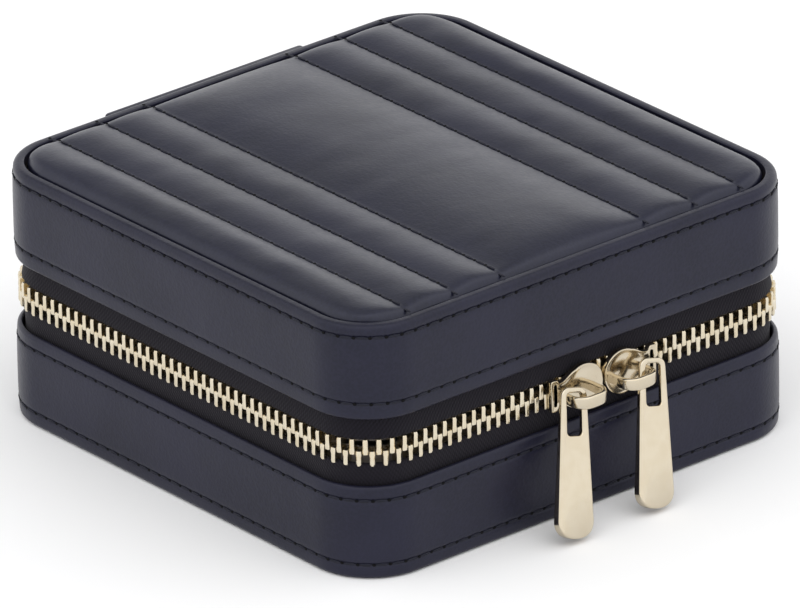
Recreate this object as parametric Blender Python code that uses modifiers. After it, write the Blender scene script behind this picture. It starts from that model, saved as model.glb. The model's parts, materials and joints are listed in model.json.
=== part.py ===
"""A square zip-round jewellery case in leather over card board.

The base and the lid are two rounded trays joined at the back by a leather hinge strip and all
round the other sides by a metal-toothed zip with two sliders that meet at the front. The lid
carries a padded quilted panel and a mirror, the base a lined tray with dividers and ring rolls.
Metres, +Z up. -Y is the front, where the sliders are. The origin is the centre of the underside.
"""

import math

import bmesh
import bpy
from mathutils import Matrix, Vector

# Overall sizes
WIDTH = 0.124
DEPTH = 0.124
CORNER_RADIUS = 0.015
BASE_HEIGHT = 0.0212
ZIP_OPENING = 0.0154
LID_HEIGHT = 0.0210

# Layers of the walls, from the outside in
CLEARANCE = 0.0003
LEATHER = 0.0014
TAPE = 0.0006
BOARD = 0.0022
LINING = 0.0012

# Flat panels
BOTTOM_LEATHER = 0.0014
BOTTOM_BOARD = 0.0020
TOP_BOARD = 0.0020
PAD_HEIGHT = 0.0040
PAD_CROWN = 0.0009
PAD_ROUNDING = 0.0012
LEATHER_ROUNDING = 0.0004

# Zip
TAPE_HIDDEN = 0.0060
TOOTH_PITCH = 0.00264
TOOTH_WIDTH = 0.0013
TOOTH_DEPTH = 0.0028
TOOTH_HEIGHT = 0.0009
BEAD_HEIGHT = 0.0015
CHAIN_SPLIT = 0.0012
CHAIN_TO_STRIP = 0.0052
STOP_LENGTH = 0.0020
TAPE_TUCK = 0.0053

# Hinge strip
STRIP_WIDTH = 0.0546
STRIP_THICKNESS = 0.0015
STRIP_FOLD = 0.0025
STRIP_MARGIN = 0.0010
STRIP_TOP_MARGIN = 0.0002

# Sliders and pulls
SLIDERS_MEET_X = 0.00405
SLIDER_GAP = 0.0007
SLIDER_LENGTH = 0.0142
SLIDER_MOUTH_HEIGHT = 0.0102
SLIDER_TAIL_HEIGHT = 0.0068
SLIDER_PLATE = 0.0010
SLIDER_BACK_PLATE = 0.0008
SLIDER_POST_LENGTH = 0.0040
SLIDER_POST_HEIGHT = 0.0006
BRIDGE_WIDTH = 0.0029
BRIDGE_STRAP = 0.0009
BRIDGE_SPAN = 0.0082
BRIDGE_LEG_FROM_MOUTH = 0.0106
BRIDGE_BEND = 0.0010
BRIDGE_BELOW_MIDDLE = 0.0011
PULL_LENGTH = 0.0318
PULL_TOP_WIDTH = 0.0068
PULL_END_WIDTH = 0.0094
PULL_TOP_THICKNESS = 0.0014
PULL_END_THICKNESS = 0.0022
PULL_PLAY = 0.00098
PULL_WINDOW_WIDTH = 0.0038
PULL_WINDOW_LENGTH = 0.0100
PULL_HEAD = 0.0031
PULL_TOP_BAR = 0.00115
PULL_TOP_RADIUS = 0.0016
PULL_OUTWARD_LEAN = math.radians(17)
PULL_SIDE_LEAN_LEFT = math.radians(14.5)
PULL_SIDE_LEAN_RIGHT = math.radians(13.5)

# The slider plate's outline from mouth to tail: places along it and how far its ends draw in, as shares
MOUTH_DRAWN_IN = 0.84
LOBE_FROM = 0.20
LOBE_TO = 0.40
WAIST_FROM = 0.66
TAIL_ROUNDED_FROM = 0.92
TAIL_DRAWN_IN = 0.70
POST_FROM = 0.10
BACK_PLATE_TO = 0.94

# Inside
TRAY_RIM_BELOW_MIDDLE = 0.0006
DIVIDER = 0.0020
DIVIDER_HEIGHT = 0.0185
DIVIDER_ROUNDING = 0.0005
LONG_DIVIDER_X = -0.0060
RIGHT_DIVIDER_Y = 0.0100
ROLL_DIAMETER = 0.0120
ROLL_COUNT = 6
ROLL_ROUNDING = 0.0012
MIRROR_MARGIN = 0.0074
MIRROR_RADIUS = 0.0080
MIRROR_THICKNESS = 0.0020
MIRROR_BORDER = 0.0060

# Facets
ARC_STEPS = 6
SMALL_ARC_STEPS = 4
ROLL_SIDES = 16
SHARP_ANGLE = math.radians(35)
MERGE_DISTANCE = 1e-7
SAME_LEVEL = 1e-6

# Levels and insets that follow from the sizes above
MIDDLE_Z = BASE_HEIGHT + ZIP_OPENING / 2
LID_Z = BASE_HEIGHT + ZIP_OPENING
RIM_Z = LID_Z + LID_HEIGHT
PANEL_INSET = LEATHER + CLEARANCE
TAPE_INSET = PANEL_INSET
BOARD_INSET = TAPE_INSET + TAPE + CLEARANCE
LINING_INSET = BOARD_INSET + BOARD + CLEARANCE
INSIDE_INSET = LINING_INSET + LINING
TRAY_FLOOR_Z = BOTTOM_LEATHER + BOTTOM_BOARD + 2 * CLEARANCE
INSIDE_FLOOR_Z = TRAY_FLOOR_Z + LINING
PAD_Z = RIM_Z + PAD_CROWN - PAD_HEIGHT
TOP_BOARD_Z = PAD_Z - CLEARANCE - TOP_BOARD
LINING_TOP_Z = TOP_BOARD_Z - CLEARANCE
TOOTH_INSET = TAPE_INSET + TAPE / 2 - TOOTH_DEPTH / 2
CHAIN_END_X = STRIP_WIDTH / 2 + CHAIN_TO_STRIP
FRONT_Y = -DEPTH / 2
PLATE_Y = FRONT_Y + TOOTH_INSET - CLEARANCE

# How far the leaning pull's head reaches behind its pivot as it swings, and ahead of it at the strap
HEAD_RADIUS = math.hypot(PULL_TOP_WIDTH / 2, PULL_HEAD) - PULL_TOP_RADIUS * (math.sqrt(2) - 1)
ROOM_BEHIND = (
    HEAD_RADIUS * math.sin(PULL_OUTWARD_LEAN)
    + PULL_TOP_THICKNESS / 2 * math.cos(PULL_OUTWARD_LEAN)
    + PULL_PLAY
)
ROOM_AHEAD = (
    BRIDGE_WIDTH / 2 * math.tan(PULL_OUTWARD_LEAN)
    + PULL_TOP_THICKNESS / 2 / math.cos(PULL_OUTWARD_LEAN)
    + PULL_PLAY
)
PIVOT_Y = PLATE_Y - SLIDER_PLATE - ROOM_BEHIND
BRIDGE_Z = MIDDLE_Z - BRIDGE_BELOW_MIDDLE
CROWN_Y = PIVOT_Y - ROOM_AHEAD - BRIDGE_STRAP

LEATHER_FINISH = ((0.018, 0.019, 0.032), 0.38, 0.0)
TAPE_FINISH = ((0.012, 0.011, 0.018), 0.85, 0.0)
BOARD_FINISH = ((0.36, 0.31, 0.24), 0.9, 0.0)
LINING_FINISH = ((0.42, 0.38, 0.36), 0.95, 0.0)
GOLD_FINISH = ((0.76, 0.66, 0.44), 0.22, 1.0)
MIRROR_FINISH = ((0.85, 0.87, 0.88), 0.04, 1.0)


def clear_scene():
    for obj in list(bpy.data.objects):
        bpy.data.objects.remove(obj, do_unlink=True)


def collection(name, hidden=False):
    made = bpy.data.collections.new(name)
    made.hide_render = hidden
    bpy.context.scene.collection.children.link(made)
    return made


def paint(obj, finish):
    colour, roughness, metallic = finish
    material = bpy.data.materials.new(obj.name + "_finish")
    material.use_nodes = True
    shader = material.node_tree.nodes["Principled BSDF"]
    shader.inputs["Base Color"].default_value = (*colour, 1.0)
    shader.inputs["Roughness"].default_value = roughness
    shader.inputs["Metallic"].default_value = metallic
    obj.data.materials.clear()
    obj.data.materials.append(material)


def smooth(obj):
    obj.data.shade_smooth()
    obj.data.set_sharp_from_angle(angle=SHARP_ANGLE)


def add_mesh(name, mesh, finish, home):
    obj = bpy.data.objects.new(name, mesh)
    home.objects.link(obj)
    paint(obj, finish)
    smooth(obj)
    return obj


def soften(obj, width, segments=2):
    bevel = obj.modifiers.new("Rounded edges", "BEVEL")
    bevel.width = width
    bevel.segments = segments
    bevel.limit_method = "ANGLE"
    bevel.angle_limit = SHARP_ANGLE
    return bevel


def arc(centre_x, centre_y, radius, start, end, steps):
    """Points on an arc, its ends included; angles in degrees."""
    angles = [math.radians(start + (end - start) * i / steps) for i in range(steps + 1)]
    return [(centre_x + radius * math.cos(a), centre_y + radius * math.sin(a)) for a in angles]


def rounded_rectangle(size_x, size_y, radius, steps=ARC_STEPS):
    """From the middle of the back anticlockwise: back left, front left, front right, back right."""
    x, y = size_x / 2 - radius, size_y / 2 - radius
    corners = ((-x, y, 90), (-x, -y, 180), (x, -y, 270), (x, y, 360))
    points = []
    for centre_x, centre_y, start in corners:
        points += arc(centre_x, centre_y, radius, start, start + 90, steps)
    return points


def case_outline(inset):
    """The case's plan, moved in by inset."""
    return rounded_rectangle(WIDTH - 2 * inset, DEPTH - 2 * inset, CORNER_RADIUS - inset)


def strip_outline(inset, thickness, end_x):
    """A strip that follows the wall from one side of the hinge strip to the other."""
    outer, inner = case_outline(inset), case_outline(inset + thickness)
    outer_y, inner_y = DEPTH / 2 - inset, DEPTH / 2 - inset - thickness
    outer = [(-end_x, outer_y), *outer, (end_x, outer_y)]
    inner = [(-end_x, inner_y), *inner, (end_x, inner_y)]
    return outer + inner[::-1]


def slab_mesh(name, outlines, low, high):
    """A flat outline, with any holes in it, between two levels."""
    curve = bpy.data.curves.new(name, "CURVE")
    curve.dimensions = "2D"
    curve.fill_mode = "BOTH"
    curve.extrude = (high - low) / 2
    for outline in outlines:
        spline = curve.splines.new("POLY")
        spline.points.add(len(outline) - 1)
        for point, (x, y) in zip(spline.points, outline):
            point.co = (x, y, 0.0, 1.0)
        spline.use_cyclic_u = True
    shape = bpy.data.objects.new(name, curve)
    bpy.context.scene.collection.objects.link(shape)
    graph = bpy.context.evaluated_depsgraph_get()
    mesh = bpy.data.meshes.new_from_object(shape.evaluated_get(graph))
    bpy.data.objects.remove(shape)
    bpy.data.curves.remove(curve)
    bm = bmesh.new()
    bm.from_mesh(mesh)
    bmesh.ops.remove_doubles(bm, verts=bm.verts, dist=MERGE_DISTANCE)
    bmesh.ops.translate(bm, verts=bm.verts, vec=(0, 0, (low + high) / 2))
    bmesh.ops.recalc_face_normals(bm, faces=bm.faces)
    bm.to_mesh(mesh)
    bm.free()
    mesh.name = name
    return mesh


def slab(name, outlines, low, high, finish, home):
    return add_mesh(name, slab_mesh(name, outlines, low, high), finish, home)


def box_mesh(name, low, high):
    bm = bmesh.new()
    bmesh.ops.create_cube(bm, size=1.0)
    low, high = Vector(low), Vector(high)
    bmesh.ops.scale(bm, verts=bm.verts, vec=high - low)
    bmesh.ops.translate(bm, verts=bm.verts, vec=(low + high) / 2)
    mesh = bpy.data.meshes.new(name)
    bm.to_mesh(mesh)
    bm.free()
    return mesh


def box(name, low, high, finish, home):
    return add_mesh(name, box_mesh(name, low, high), finish, home)


def leather_band(name, low, high, home):
    """The leather wall that wraps a half, with turned edges."""
    outlines = [case_outline(0), case_outline(LEATHER)]
    soften(slab(name, outlines, low, high, LEATHER_FINISH, home), LEATHER_ROUNDING)


def frame_board(name, low, high, home):
    """The card ring that stiffens a wall, between the leather and the lining."""
    outlines = [case_outline(BOARD_INSET), case_outline(BOARD_INSET + BOARD)]
    slab(name, outlines, low, high, BOARD_FINISH, home)


def lined_tray(name, closed_z, open_z, home):
    """Lining over thin card: walls all round and one closed end."""
    low, high = min(closed_z, open_z), max(closed_z, open_z)
    mesh = slab_mesh(name, [case_outline(LINING_INSET)], low, high)
    bm = bmesh.new()
    bm.from_mesh(mesh)
    mouth = [f for f in bm.faces if all(abs(v.co.z - open_z) < SAME_LEVEL for v in f.verts)]
    bmesh.ops.delete(bm, geom=mouth, context="FACES")
    bm.to_mesh(mesh)
    bm.free()
    tray = add_mesh(name, mesh, LINING_FINISH, home)
    shell = tray.modifiers.new("Wall", "SOLIDIFY")
    shell.thickness = LINING
    shell.offset = -1
    shell.use_even_offset = True
    return tray


def zip_tape(name, low, high, home):
    end_x = STRIP_WIDTH / 2 - TAPE_TUCK
    slab(name, [strip_outline(TAPE_INSET, TAPE, end_x)], low, high, TAPE_FINISH, home)


def chain_stations():
    """Where each tooth starts and ends: (point, outward normal) along the tape's middle."""
    inset = TAPE_INSET + TAPE / 2
    radius = CORNER_RADIUS - inset
    x, y = WIDTH / 2 - CORNER_RADIUS, DEPTH / 2 - CORNER_RADIUS
    quarter = radius * math.pi / 2
    runs = (
        ("line", x - CHAIN_END_X, Vector((-CHAIN_END_X, y + radius)), 90),
        ("turn", quarter, Vector((-x, y)), 90),
        ("line", 2 * y, Vector((-x - radius, y)), 180),
        ("turn", quarter, Vector((-x, -y)), 180),
        ("line", 2 * x, Vector((-x, -y - radius)), 270),
        ("turn", quarter, Vector((x, -y)), 270),
        ("line", 2 * y, Vector((x + radius, -y)), 0),
        ("turn", quarter, Vector((x, y)), 0),
        ("line", x - CHAIN_END_X, Vector((x, y + radius)), 90),
    )
    total = sum(run[1] for run in runs)
    count = int(total / TOOTH_PITCH)
    spare = (total - (count - 1) * TOOTH_PITCH - TOOTH_WIDTH) / 2
    places = []
    for tooth in range(count):
        start = spare + tooth * TOOTH_PITCH
        places += [start, start + TOOTH_WIDTH]
    stations = []
    for place in places:
        left = place
        for kind, length, start, facing in runs:
            if left <= length:
                break
            left -= length
        turned = facing + (90 * left / length if kind == "turn" else 0)
        normal = Vector((math.cos(math.radians(turned)), math.sin(math.radians(turned))))
        along = Vector((-normal.y, normal.x))
        stations.append((start + (normal * radius if kind == "turn" else along * left), normal))
    return stations


def spot(face):
    """A face's place in plan, to a micrometre."""
    centre = face.calc_center_median()
    return round(centre.x, 6), round(centre.y, 6)


def zip_teeth(name, bead_z, side, home):
    """A row of teeth standing on their bead; side is 1 for teeth that point up, -1 for down."""
    bm = bmesh.new()
    half = TOOTH_DEPTH / 2
    rows = []
    for point, normal in chain_stations():
        ends = (point + normal * half, point - normal * half)
        rows.append([bm.verts.new((p.x, p.y, bead_z)) for p in ends])
    cells = [
        bm.faces.new((a[0], a[1], b[1], b[0])) for a, b in zip(rows, rows[1:])
    ]
    tooth_spots = {spot(cell) for cell in cells[::2]}
    bead = bmesh.ops.extrude_face_region(bm, geom=cells)["geom"]
    raised = [g for g in bead if isinstance(g, bmesh.types.BMVert)]
    bmesh.ops.translate(bm, verts=raised, vec=(0, 0, side * BEAD_HEIGHT))
    crest = [g for g in bead if isinstance(g, bmesh.types.BMFace) and spot(g) in tooth_spots]
    teeth = bmesh.ops.extrude_face_region(bm, geom=crest)["geom"]
    bmesh.ops.delete(bm, geom=crest, context="FACES_ONLY")
    tips = [g for g in teeth if isinstance(g, bmesh.types.BMVert)]
    bmesh.ops.translate(bm, verts=tips, vec=(0, 0, side * TOOTH_HEIGHT))
    bmesh.ops.recalc_face_normals(bm, faces=bm.faces)
    mesh = bpy.data.meshes.new(name)
    bm.to_mesh(mesh)
    bm.free()
    add_mesh(name, mesh, GOLD_FINISH, home)


def zip_stop(name, centre_x, low, high, home):
    """A metal block clamped on the tape's edge past the last tooth."""
    outer = DEPTH / 2 - TOOTH_INSET
    corner_low = (centre_x - STOP_LENGTH / 2, outer - TOOTH_DEPTH, low)
    corner_high = (centre_x + STOP_LENGTH / 2, outer, high)
    box(name, corner_low, corner_high, GOLD_FINISH, home)


def zip_halves(home):
    """Tapes, teeth and stops of the lower and the upper half, with a channel between the rows."""
    bead = BEAD_HEIGHT + TOOTH_HEIGHT + CHAIN_SPLIT / 2
    stop_x = CHAIN_END_X - STOP_LENGTH / 2 - CLEARANCE
    for half, side in (("lower", 1), ("upper", -1)):
        bead_z = MIDDLE_Z - side * bead
        edge_z = bead_z - side * CLEARANCE
        hidden_z = BASE_HEIGHT - TAPE_HIDDEN if side == 1 else LID_Z + TAPE_HIDDEN
        zip_tape(half + "_zip_tape", min(edge_z, hidden_z), max(edge_z, hidden_z), home)
        zip_teeth(half + "_zip_teeth", bead_z, side, home)
        tip_z = bead_z + side * (BEAD_HEIGHT + TOOTH_HEIGHT)
        low, high = min(bead_z, tip_z), max(bead_z, tip_z)
        zip_stop(half + "_zip_stop_left", -stop_x, low, high, home)
        zip_stop(half + "_zip_stop_right", stop_x, low, high, home)


def hinge_strip(name, low, high, home):
    """One end of the leather strip that joins the halves at the back; its fold is left open."""
    inner_y = DEPTH / 2 + CLEARANCE
    corner_low = (-STRIP_WIDTH / 2, inner_y, low)
    corner_high = (STRIP_WIDTH / 2, inner_y + STRIP_THICKNESS, high)
    soften(box(name, corner_low, corner_high, LEATHER_FINISH, home), LEATHER_ROUNDING)


def base_shell(home):
    leather_band("base_leather_band", 0, BASE_HEIGHT, home)
    plan = [case_outline(PANEL_INSET)]
    slab("base_bottom_leather", plan, 0, BOTTOM_LEATHER, LEATHER_FINISH, home)
    board_z = BOTTOM_LEATHER + CLEARANCE
    slab("base_bottom_board", plan, board_z, board_z + BOTTOM_BOARD, BOARD_FINISH, home)
    frame_board("base_frame_board", TRAY_FLOOR_Z, BASE_HEIGHT - 2 * CLEARANCE, home)
    lined_tray("base_lining_tray", TRAY_FLOOR_Z, MIDDLE_Z - TRAY_RIM_BELOW_MIDDLE, home)
    fold_z = MIDDLE_Z - STRIP_FOLD
    hinge_strip("base_hinge_strip", STRIP_MARGIN, fold_z, home)


def lid_shell(home):
    leather_band("lid_leather_band", LID_Z, RIM_Z, home)
    frame_board("lid_frame_board", LID_Z + 2 * CLEARANCE, LINING_TOP_Z, home)
    plan = [case_outline(PANEL_INSET)]
    slab("lid_top_board", plan, TOP_BOARD_Z, TOP_BOARD_Z + TOP_BOARD, BOARD_FINISH, home)
    pad = slab("lid_quilted_panel", plan, PAD_Z, PAD_Z + PAD_HEIGHT, LEATHER_FINISH, home)
    soften(pad, PAD_ROUNDING)
    lined_tray("lid_lining", LINING_TOP_Z, MIDDLE_Z + TRAY_RIM_BELOW_MIDDLE, home)
    hinge_strip("lid_hinge_strip", MIDDLE_Z + STRIP_FOLD, RIM_Z - STRIP_TOP_MARGIN, home)


def lid_mirror(home):
    """Glass under the lid's lining, in a leather border that stays off the lining's walls."""
    top = LINING_TOP_Z - LINING - CLEARANCE

    def outline(inset, radius):
        return rounded_rectangle(WIDTH - 2 * inset, DEPTH - 2 * inset, radius)

    rim_inset = INSIDE_INSET + MIRROR_MARGIN
    rim = outline(rim_inset, MIRROR_RADIUS + CLEARANCE + MIRROR_BORDER)
    hole = outline(rim_inset + MIRROR_BORDER, MIRROR_RADIUS + CLEARANCE)
    glass = outline(rim_inset + MIRROR_BORDER + CLEARANCE, MIRROR_RADIUS)
    slab("mirror", [glass], top - MIRROR_THICKNESS, top, MIRROR_FINISH, home)
    border_low = top - MIRROR_THICKNESS - 2 * CLEARANCE
    border = slab("mirror_border", [rim, hole], border_low, top, LEATHER_FINISH, home)
    soften(border, LEATHER_ROUNDING, segments=1)


def divider(name, low, high, home):
    soften(box(name, low, high, LINING_FINISH, home), DIVIDER_ROUNDING, segments=1)


def base_inside(home):
    """Three dividers, and a bay of padded rolls that grip rings between them."""
    wall_x = WIDTH / 2 - INSIDE_INSET - CLEARANCE
    wall_y = DEPTH / 2 - INSIDE_INSET - CLEARANCE
    low_z = INSIDE_FLOOR_Z + CLEARANCE
    high_z = low_z + DIVIDER_HEIGHT
    long_left = LONG_DIVIDER_X - DIVIDER / 2
    long_right = LONG_DIVIDER_X + DIVIDER / 2
    divider("long_divider", (long_left, -wall_y, low_z), (long_right, wall_y, high_z), home)
    pitch = ROLL_DIAMETER + CLEARANCE
    corner_room = (CORNER_RADIUS - INSIDE_INSET) * (1 - math.sqrt(0.5))
    bay_back = wall_y - corner_room
    bay_front = bay_back - ROLL_COUNT * pitch
    divider(
        "left_cross_divider",
        (-wall_x, bay_front - DIVIDER, low_z),
        (long_left - CLEARANCE, bay_front, high_z),
        home,
    )
    divider(
        "right_cross_divider",
        (long_right + CLEARANCE, RIGHT_DIVIDER_Y - DIVIDER / 2, low_z),
        (wall_x, RIGHT_DIVIDER_Y + DIVIDER / 2, high_z),
        home,
    )
    roll_left = corner_room - wall_x
    roll_length = long_left - CLEARANCE - roll_left
    roll_mesh = ring_roll_mesh(roll_length)
    for number in range(ROLL_COUNT):
        roll = add_mesh(f"ring_roll_{number + 1}", roll_mesh.copy(), LINING_FINISH, home)
        centre_y = bay_back - pitch * (number + 0.5)
        roll.location = (roll_left + roll_length / 2, centre_y, low_z + ROLL_DIAMETER / 2)
        soften(roll, ROLL_ROUNDING, segments=1)
    bpy.data.meshes.remove(roll_mesh)


def ring_roll_mesh(length):
    bm = bmesh.new()
    bmesh.ops.create_cone(
        bm,
        cap_ends=True,
        segments=ROLL_SIDES,
        radius1=ROLL_DIAMETER / 2,
        radius2=ROLL_DIAMETER / 2,
        depth=length,
        matrix=Matrix.Rotation(math.radians(90), 4, "Y"),
    )
    mesh = bpy.data.meshes.new("ring_roll")
    bm.to_mesh(mesh)
    bm.free()
    return mesh


def upright(mesh):
    """Stands a flat shape up: its Y becomes Z, and its thickness runs along Y."""
    mesh.transform(Matrix.Rotation(math.radians(90), 4, "X"))
    return mesh


def slider_plate_outline(side):
    """A pear shape from the mouth, at x = 0, to the tail; side is -1 where the tail is at -X."""
    mouth, tail = SLIDER_MOUTH_HEIGHT / 2, SLIDER_TAIL_HEIGHT / 2
    length = SLIDER_LENGTH
    edge = [(0, MOUTH_DRAWN_IN * mouth), (LOBE_FROM * length, mouth), (LOBE_TO * length, mouth)]
    edge += [(WAIST_FROM * length, tail), (TAIL_ROUNDED_FROM * length, tail)]
    edge.append((length, TAIL_DRAWN_IN * tail))
    return [(side * x, z) for x, z in edge] + [(side * x, -z) for x, z in edge[::-1]]


def slider(name, side, home, cutters):
    """Front and back plates either side of the teeth, joined by a post between the two rows."""
    mouth_x = SLIDERS_MEET_X + side * SLIDER_GAP / 2
    front = PLATE_Y
    back = FRONT_Y + TOOTH_INSET + TOOTH_DEPTH + CLEARANCE
    plate = upright(slab_mesh(name, [slider_plate_outline(side)], -front, SLIDER_PLATE - front))
    body = add_mesh(name, plate, GOLD_FINISH, home)
    body.location = (mouth_x, 0, MIDDLE_Z)
    post_from = POST_FROM * SLIDER_LENGTH
    post_to = post_from + SLIDER_POST_LENGTH
    overlap = SLIDER_BACK_PLATE / 2
    xs = sorted((mouth_x + side * post_from, mouth_x + side * post_to))
    half = SLIDER_POST_HEIGHT / 2
    joined = [box_mesh(
        name + "_post",
        (xs[0], front - overlap, MIDDLE_Z - half),
        (xs[1], back + overlap, MIDDLE_Z + half),
    )]
    xs = sorted((mouth_x + side * CLEARANCE, mouth_x + side * BACK_PLATE_TO * SLIDER_LENGTH))
    half = SLIDER_TAIL_HEIGHT / 2
    joined.append(box_mesh(
        name + "_back_plate",
        (xs[0], back, MIDDLE_Z - half),
        (xs[1], back + SLIDER_BACK_PLATE, MIDDLE_Z + half),
    ))
    for mesh in joined:
        helper = bpy.data.objects.new(mesh.name, mesh)
        helper.display_type = "WIRE"
        helper.hide_render = True
        cutters.objects.link(helper)
        union = body.modifiers.new(mesh.name, "BOOLEAN")
        union.operation = "UNION"
        union.solver = "EXACT"
        union.object = helper


def bridge(name, side, home):
    """The strap that arches over the slider's front plate and holds the pull."""
    mouth_x = SLIDERS_MEET_X + side * SLIDER_GAP / 2
    foot_y = PLATE_Y - SLIDER_PLATE - CLEARANCE
    half = BRIDGE_SPAN / 2 + BRIDGE_STRAP / 2
    outer_bend = BRIDGE_BEND + BRIDGE_STRAP
    steps = SMALL_ARC_STEPS
    outer = [(-half, foot_y)]
    outer += arc(-half + outer_bend, CROWN_Y + outer_bend, outer_bend, 180, 270, steps)
    outer += arc(half - outer_bend, CROWN_Y + outer_bend, outer_bend, 270, 360, steps)
    outer.append((half, foot_y))
    inside = half - BRIDGE_STRAP
    bend_y = CROWN_Y + outer_bend
    inner = [(inside, foot_y)]
    inner += arc(inside - BRIDGE_BEND, bend_y, BRIDGE_BEND, 360, 270, steps)
    inner += arc(-inside + BRIDGE_BEND, bend_y, BRIDGE_BEND, 270, 180, steps)
    inner.append((-inside, foot_y))
    low, high = BRIDGE_Z - BRIDGE_WIDTH / 2, BRIDGE_Z + BRIDGE_WIDTH / 2
    strap = slab(name, [outer + inner], low, high, GOLD_FINISH, home)
    strap.location.x = mouth_x + side * (BRIDGE_LEG_FROM_MOUTH - BRIDGE_SPAN / 2)
    return strap


def pull_outline():
    """A tab that widens from its head to a round end, in its own plane with the pivot at 0, 0."""
    top, end = PULL_HEAD, PULL_HEAD - PULL_LENGTH
    top_half, end_half = PULL_TOP_WIDTH / 2, PULL_END_WIDTH / 2
    corner = PULL_TOP_RADIUS
    outline = arc(top_half - corner, top - corner, corner, 0, 90, SMALL_ARC_STEPS)
    outline += arc(-top_half + corner, top - corner, corner, 90, 180, SMALL_ARC_STEPS)
    outline += arc(0, end + end_half, end_half, 180, 360, 2 * ARC_STEPS)
    return outline


def pull_window():
    half = PULL_WINDOW_WIDTH / 2
    high = PULL_HEAD - PULL_TOP_BAR
    low = high - PULL_WINDOW_LENGTH
    return [(-half, low), (half, low), (half, high), (-half, high)]


def pull(name, side, side_lean, home):
    """A cast tab hung by its window on the bridge's outer leg, its end leaning out and aside."""
    leg_x = SLIDERS_MEET_X + side * (SLIDER_GAP / 2 + BRIDGE_LEG_FROM_MOUTH)
    pivot = Vector((leg_x, PIVOT_Y, BRIDGE_Z))
    unit = 1.0
    mesh = upright(slab_mesh(name, [pull_outline(), pull_window()], -unit / 2, unit / 2))
    for vertex in mesh.vertices:
        share = (PULL_HEAD - vertex.co.z) / PULL_LENGTH
        vertex.co.y *= PULL_TOP_THICKNESS + (PULL_END_THICKNESS - PULL_TOP_THICKNESS) * share
    tab = add_mesh(name, mesh, GOLD_FINISH, home)
    lean = Matrix.Rotation(-PULL_OUTWARD_LEAN, 4, "X") @ Matrix.Rotation(side_lean, 4, "Y")
    tab.matrix_world = Matrix.Translation(pivot) @ lean
    return tab


clear_scene()
case = collection("jewellery_case")
helpers = collection("cutters", hidden=True)
base_shell(case)
base_inside(case)
zip_halves(case)
lid_shell(case)
lid_mirror(case)
for hand, direction, swing in (("left", -1, PULL_SIDE_LEAN_LEFT), ("right", 1, PULL_SIDE_LEAN_RIGHT)):
    slider(hand + "_slider", direction, case, helpers)
    bridge(hand + "_slider_bridge", direction, case)
    pull(hand + "_pull", direction, swing, case)
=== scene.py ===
"""A square zip-round leather jewellery case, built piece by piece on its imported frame.

Metres, +Z up, -Y the front. Heights and places come from the frame's own boxes and joints.
"""

import json
import math

import bmesh
import bpy
from mathutils import Matrix, Vector, noise


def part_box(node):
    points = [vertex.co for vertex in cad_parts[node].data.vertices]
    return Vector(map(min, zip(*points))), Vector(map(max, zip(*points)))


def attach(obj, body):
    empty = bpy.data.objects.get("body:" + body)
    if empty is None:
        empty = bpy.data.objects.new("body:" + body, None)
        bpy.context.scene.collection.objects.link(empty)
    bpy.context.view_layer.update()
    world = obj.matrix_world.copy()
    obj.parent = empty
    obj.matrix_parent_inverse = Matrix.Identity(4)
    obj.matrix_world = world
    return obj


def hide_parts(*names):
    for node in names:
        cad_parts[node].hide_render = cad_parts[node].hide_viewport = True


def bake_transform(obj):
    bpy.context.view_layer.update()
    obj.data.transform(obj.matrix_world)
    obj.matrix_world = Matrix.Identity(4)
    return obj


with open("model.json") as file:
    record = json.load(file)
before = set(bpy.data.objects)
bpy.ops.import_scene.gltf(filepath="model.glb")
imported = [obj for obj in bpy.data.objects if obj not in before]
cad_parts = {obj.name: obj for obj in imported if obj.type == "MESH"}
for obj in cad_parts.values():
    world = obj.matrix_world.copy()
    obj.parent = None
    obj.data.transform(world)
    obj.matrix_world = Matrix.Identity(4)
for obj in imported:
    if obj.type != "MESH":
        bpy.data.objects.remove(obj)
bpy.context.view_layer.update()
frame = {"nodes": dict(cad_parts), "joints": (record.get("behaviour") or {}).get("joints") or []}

# Base wall
# Smooth navy leather glued over card board, its edges turned over. Two rows of stitches run
# round it close to the edges, each lying in a shallow pressed groove.

CORNER_RADIUS = 0.015
WALL_THICKNESS = 0.0014
WALL_BULGE = 0.00022
SEAM_GROOVE_DEPTH = 0.00024
SEAM_GROOVE_WIDTH = 0.00050
BASE_LOW_ROUND = 0.0011
BASE_HIGH_ROUND = 0.0009
BASE_SEAM_FROM_FLOOR = 0.0034
BASE_SEAM_FROM_OPENING = 0.00305
PLAN_STEP = 0.0020
TURN_STEPS = 16
ROUND_STEPS = 6
WALL_LEVELS = 18
GROOVE_CLEAR = 0.0012
GROOVE_OFFSETS = (-2.2, -1.4, -0.9, -0.45, 0, 0.45, 0.9, 1.4, 2.2)
INNER_EDGE_SHARE = 0.25
CREASE_ANGLE = math.radians(42)
MM_PER_METRE = 1000.0


class Wire:
    """A socket in a finish's node tree; arithmetic on it adds Math nodes."""

    def __init__(self, finish, socket):
        self.finish, self.socket = finish, socket

    def maths(self, operation, *values):
        return self.finish.node("Math", {"operation": operation}, dict(enumerate(values)))

    def __add__(self, other):
        return self.maths("ADD", self, other)

    def __sub__(self, other):
        return self.maths("SUBTRACT", self, other)

    def __rsub__(self, other):
        return self.maths("SUBTRACT", other, self)

    def __mul__(self, other):
        return self.maths("MULTIPLY", self, other)

    __radd__ = __add__
    __rmul__ = __mul__

    def wave(self):
        return self.maths("SINE", self)

    def over(self, low, high):
        """0 below low, 1 above high, smooth in between."""
        settings = {"interpolation_type": "SMOOTHSTEP"}
        return self.finish.node("MapRange", settings, {0: self, 1: low, 2: high})


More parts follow.
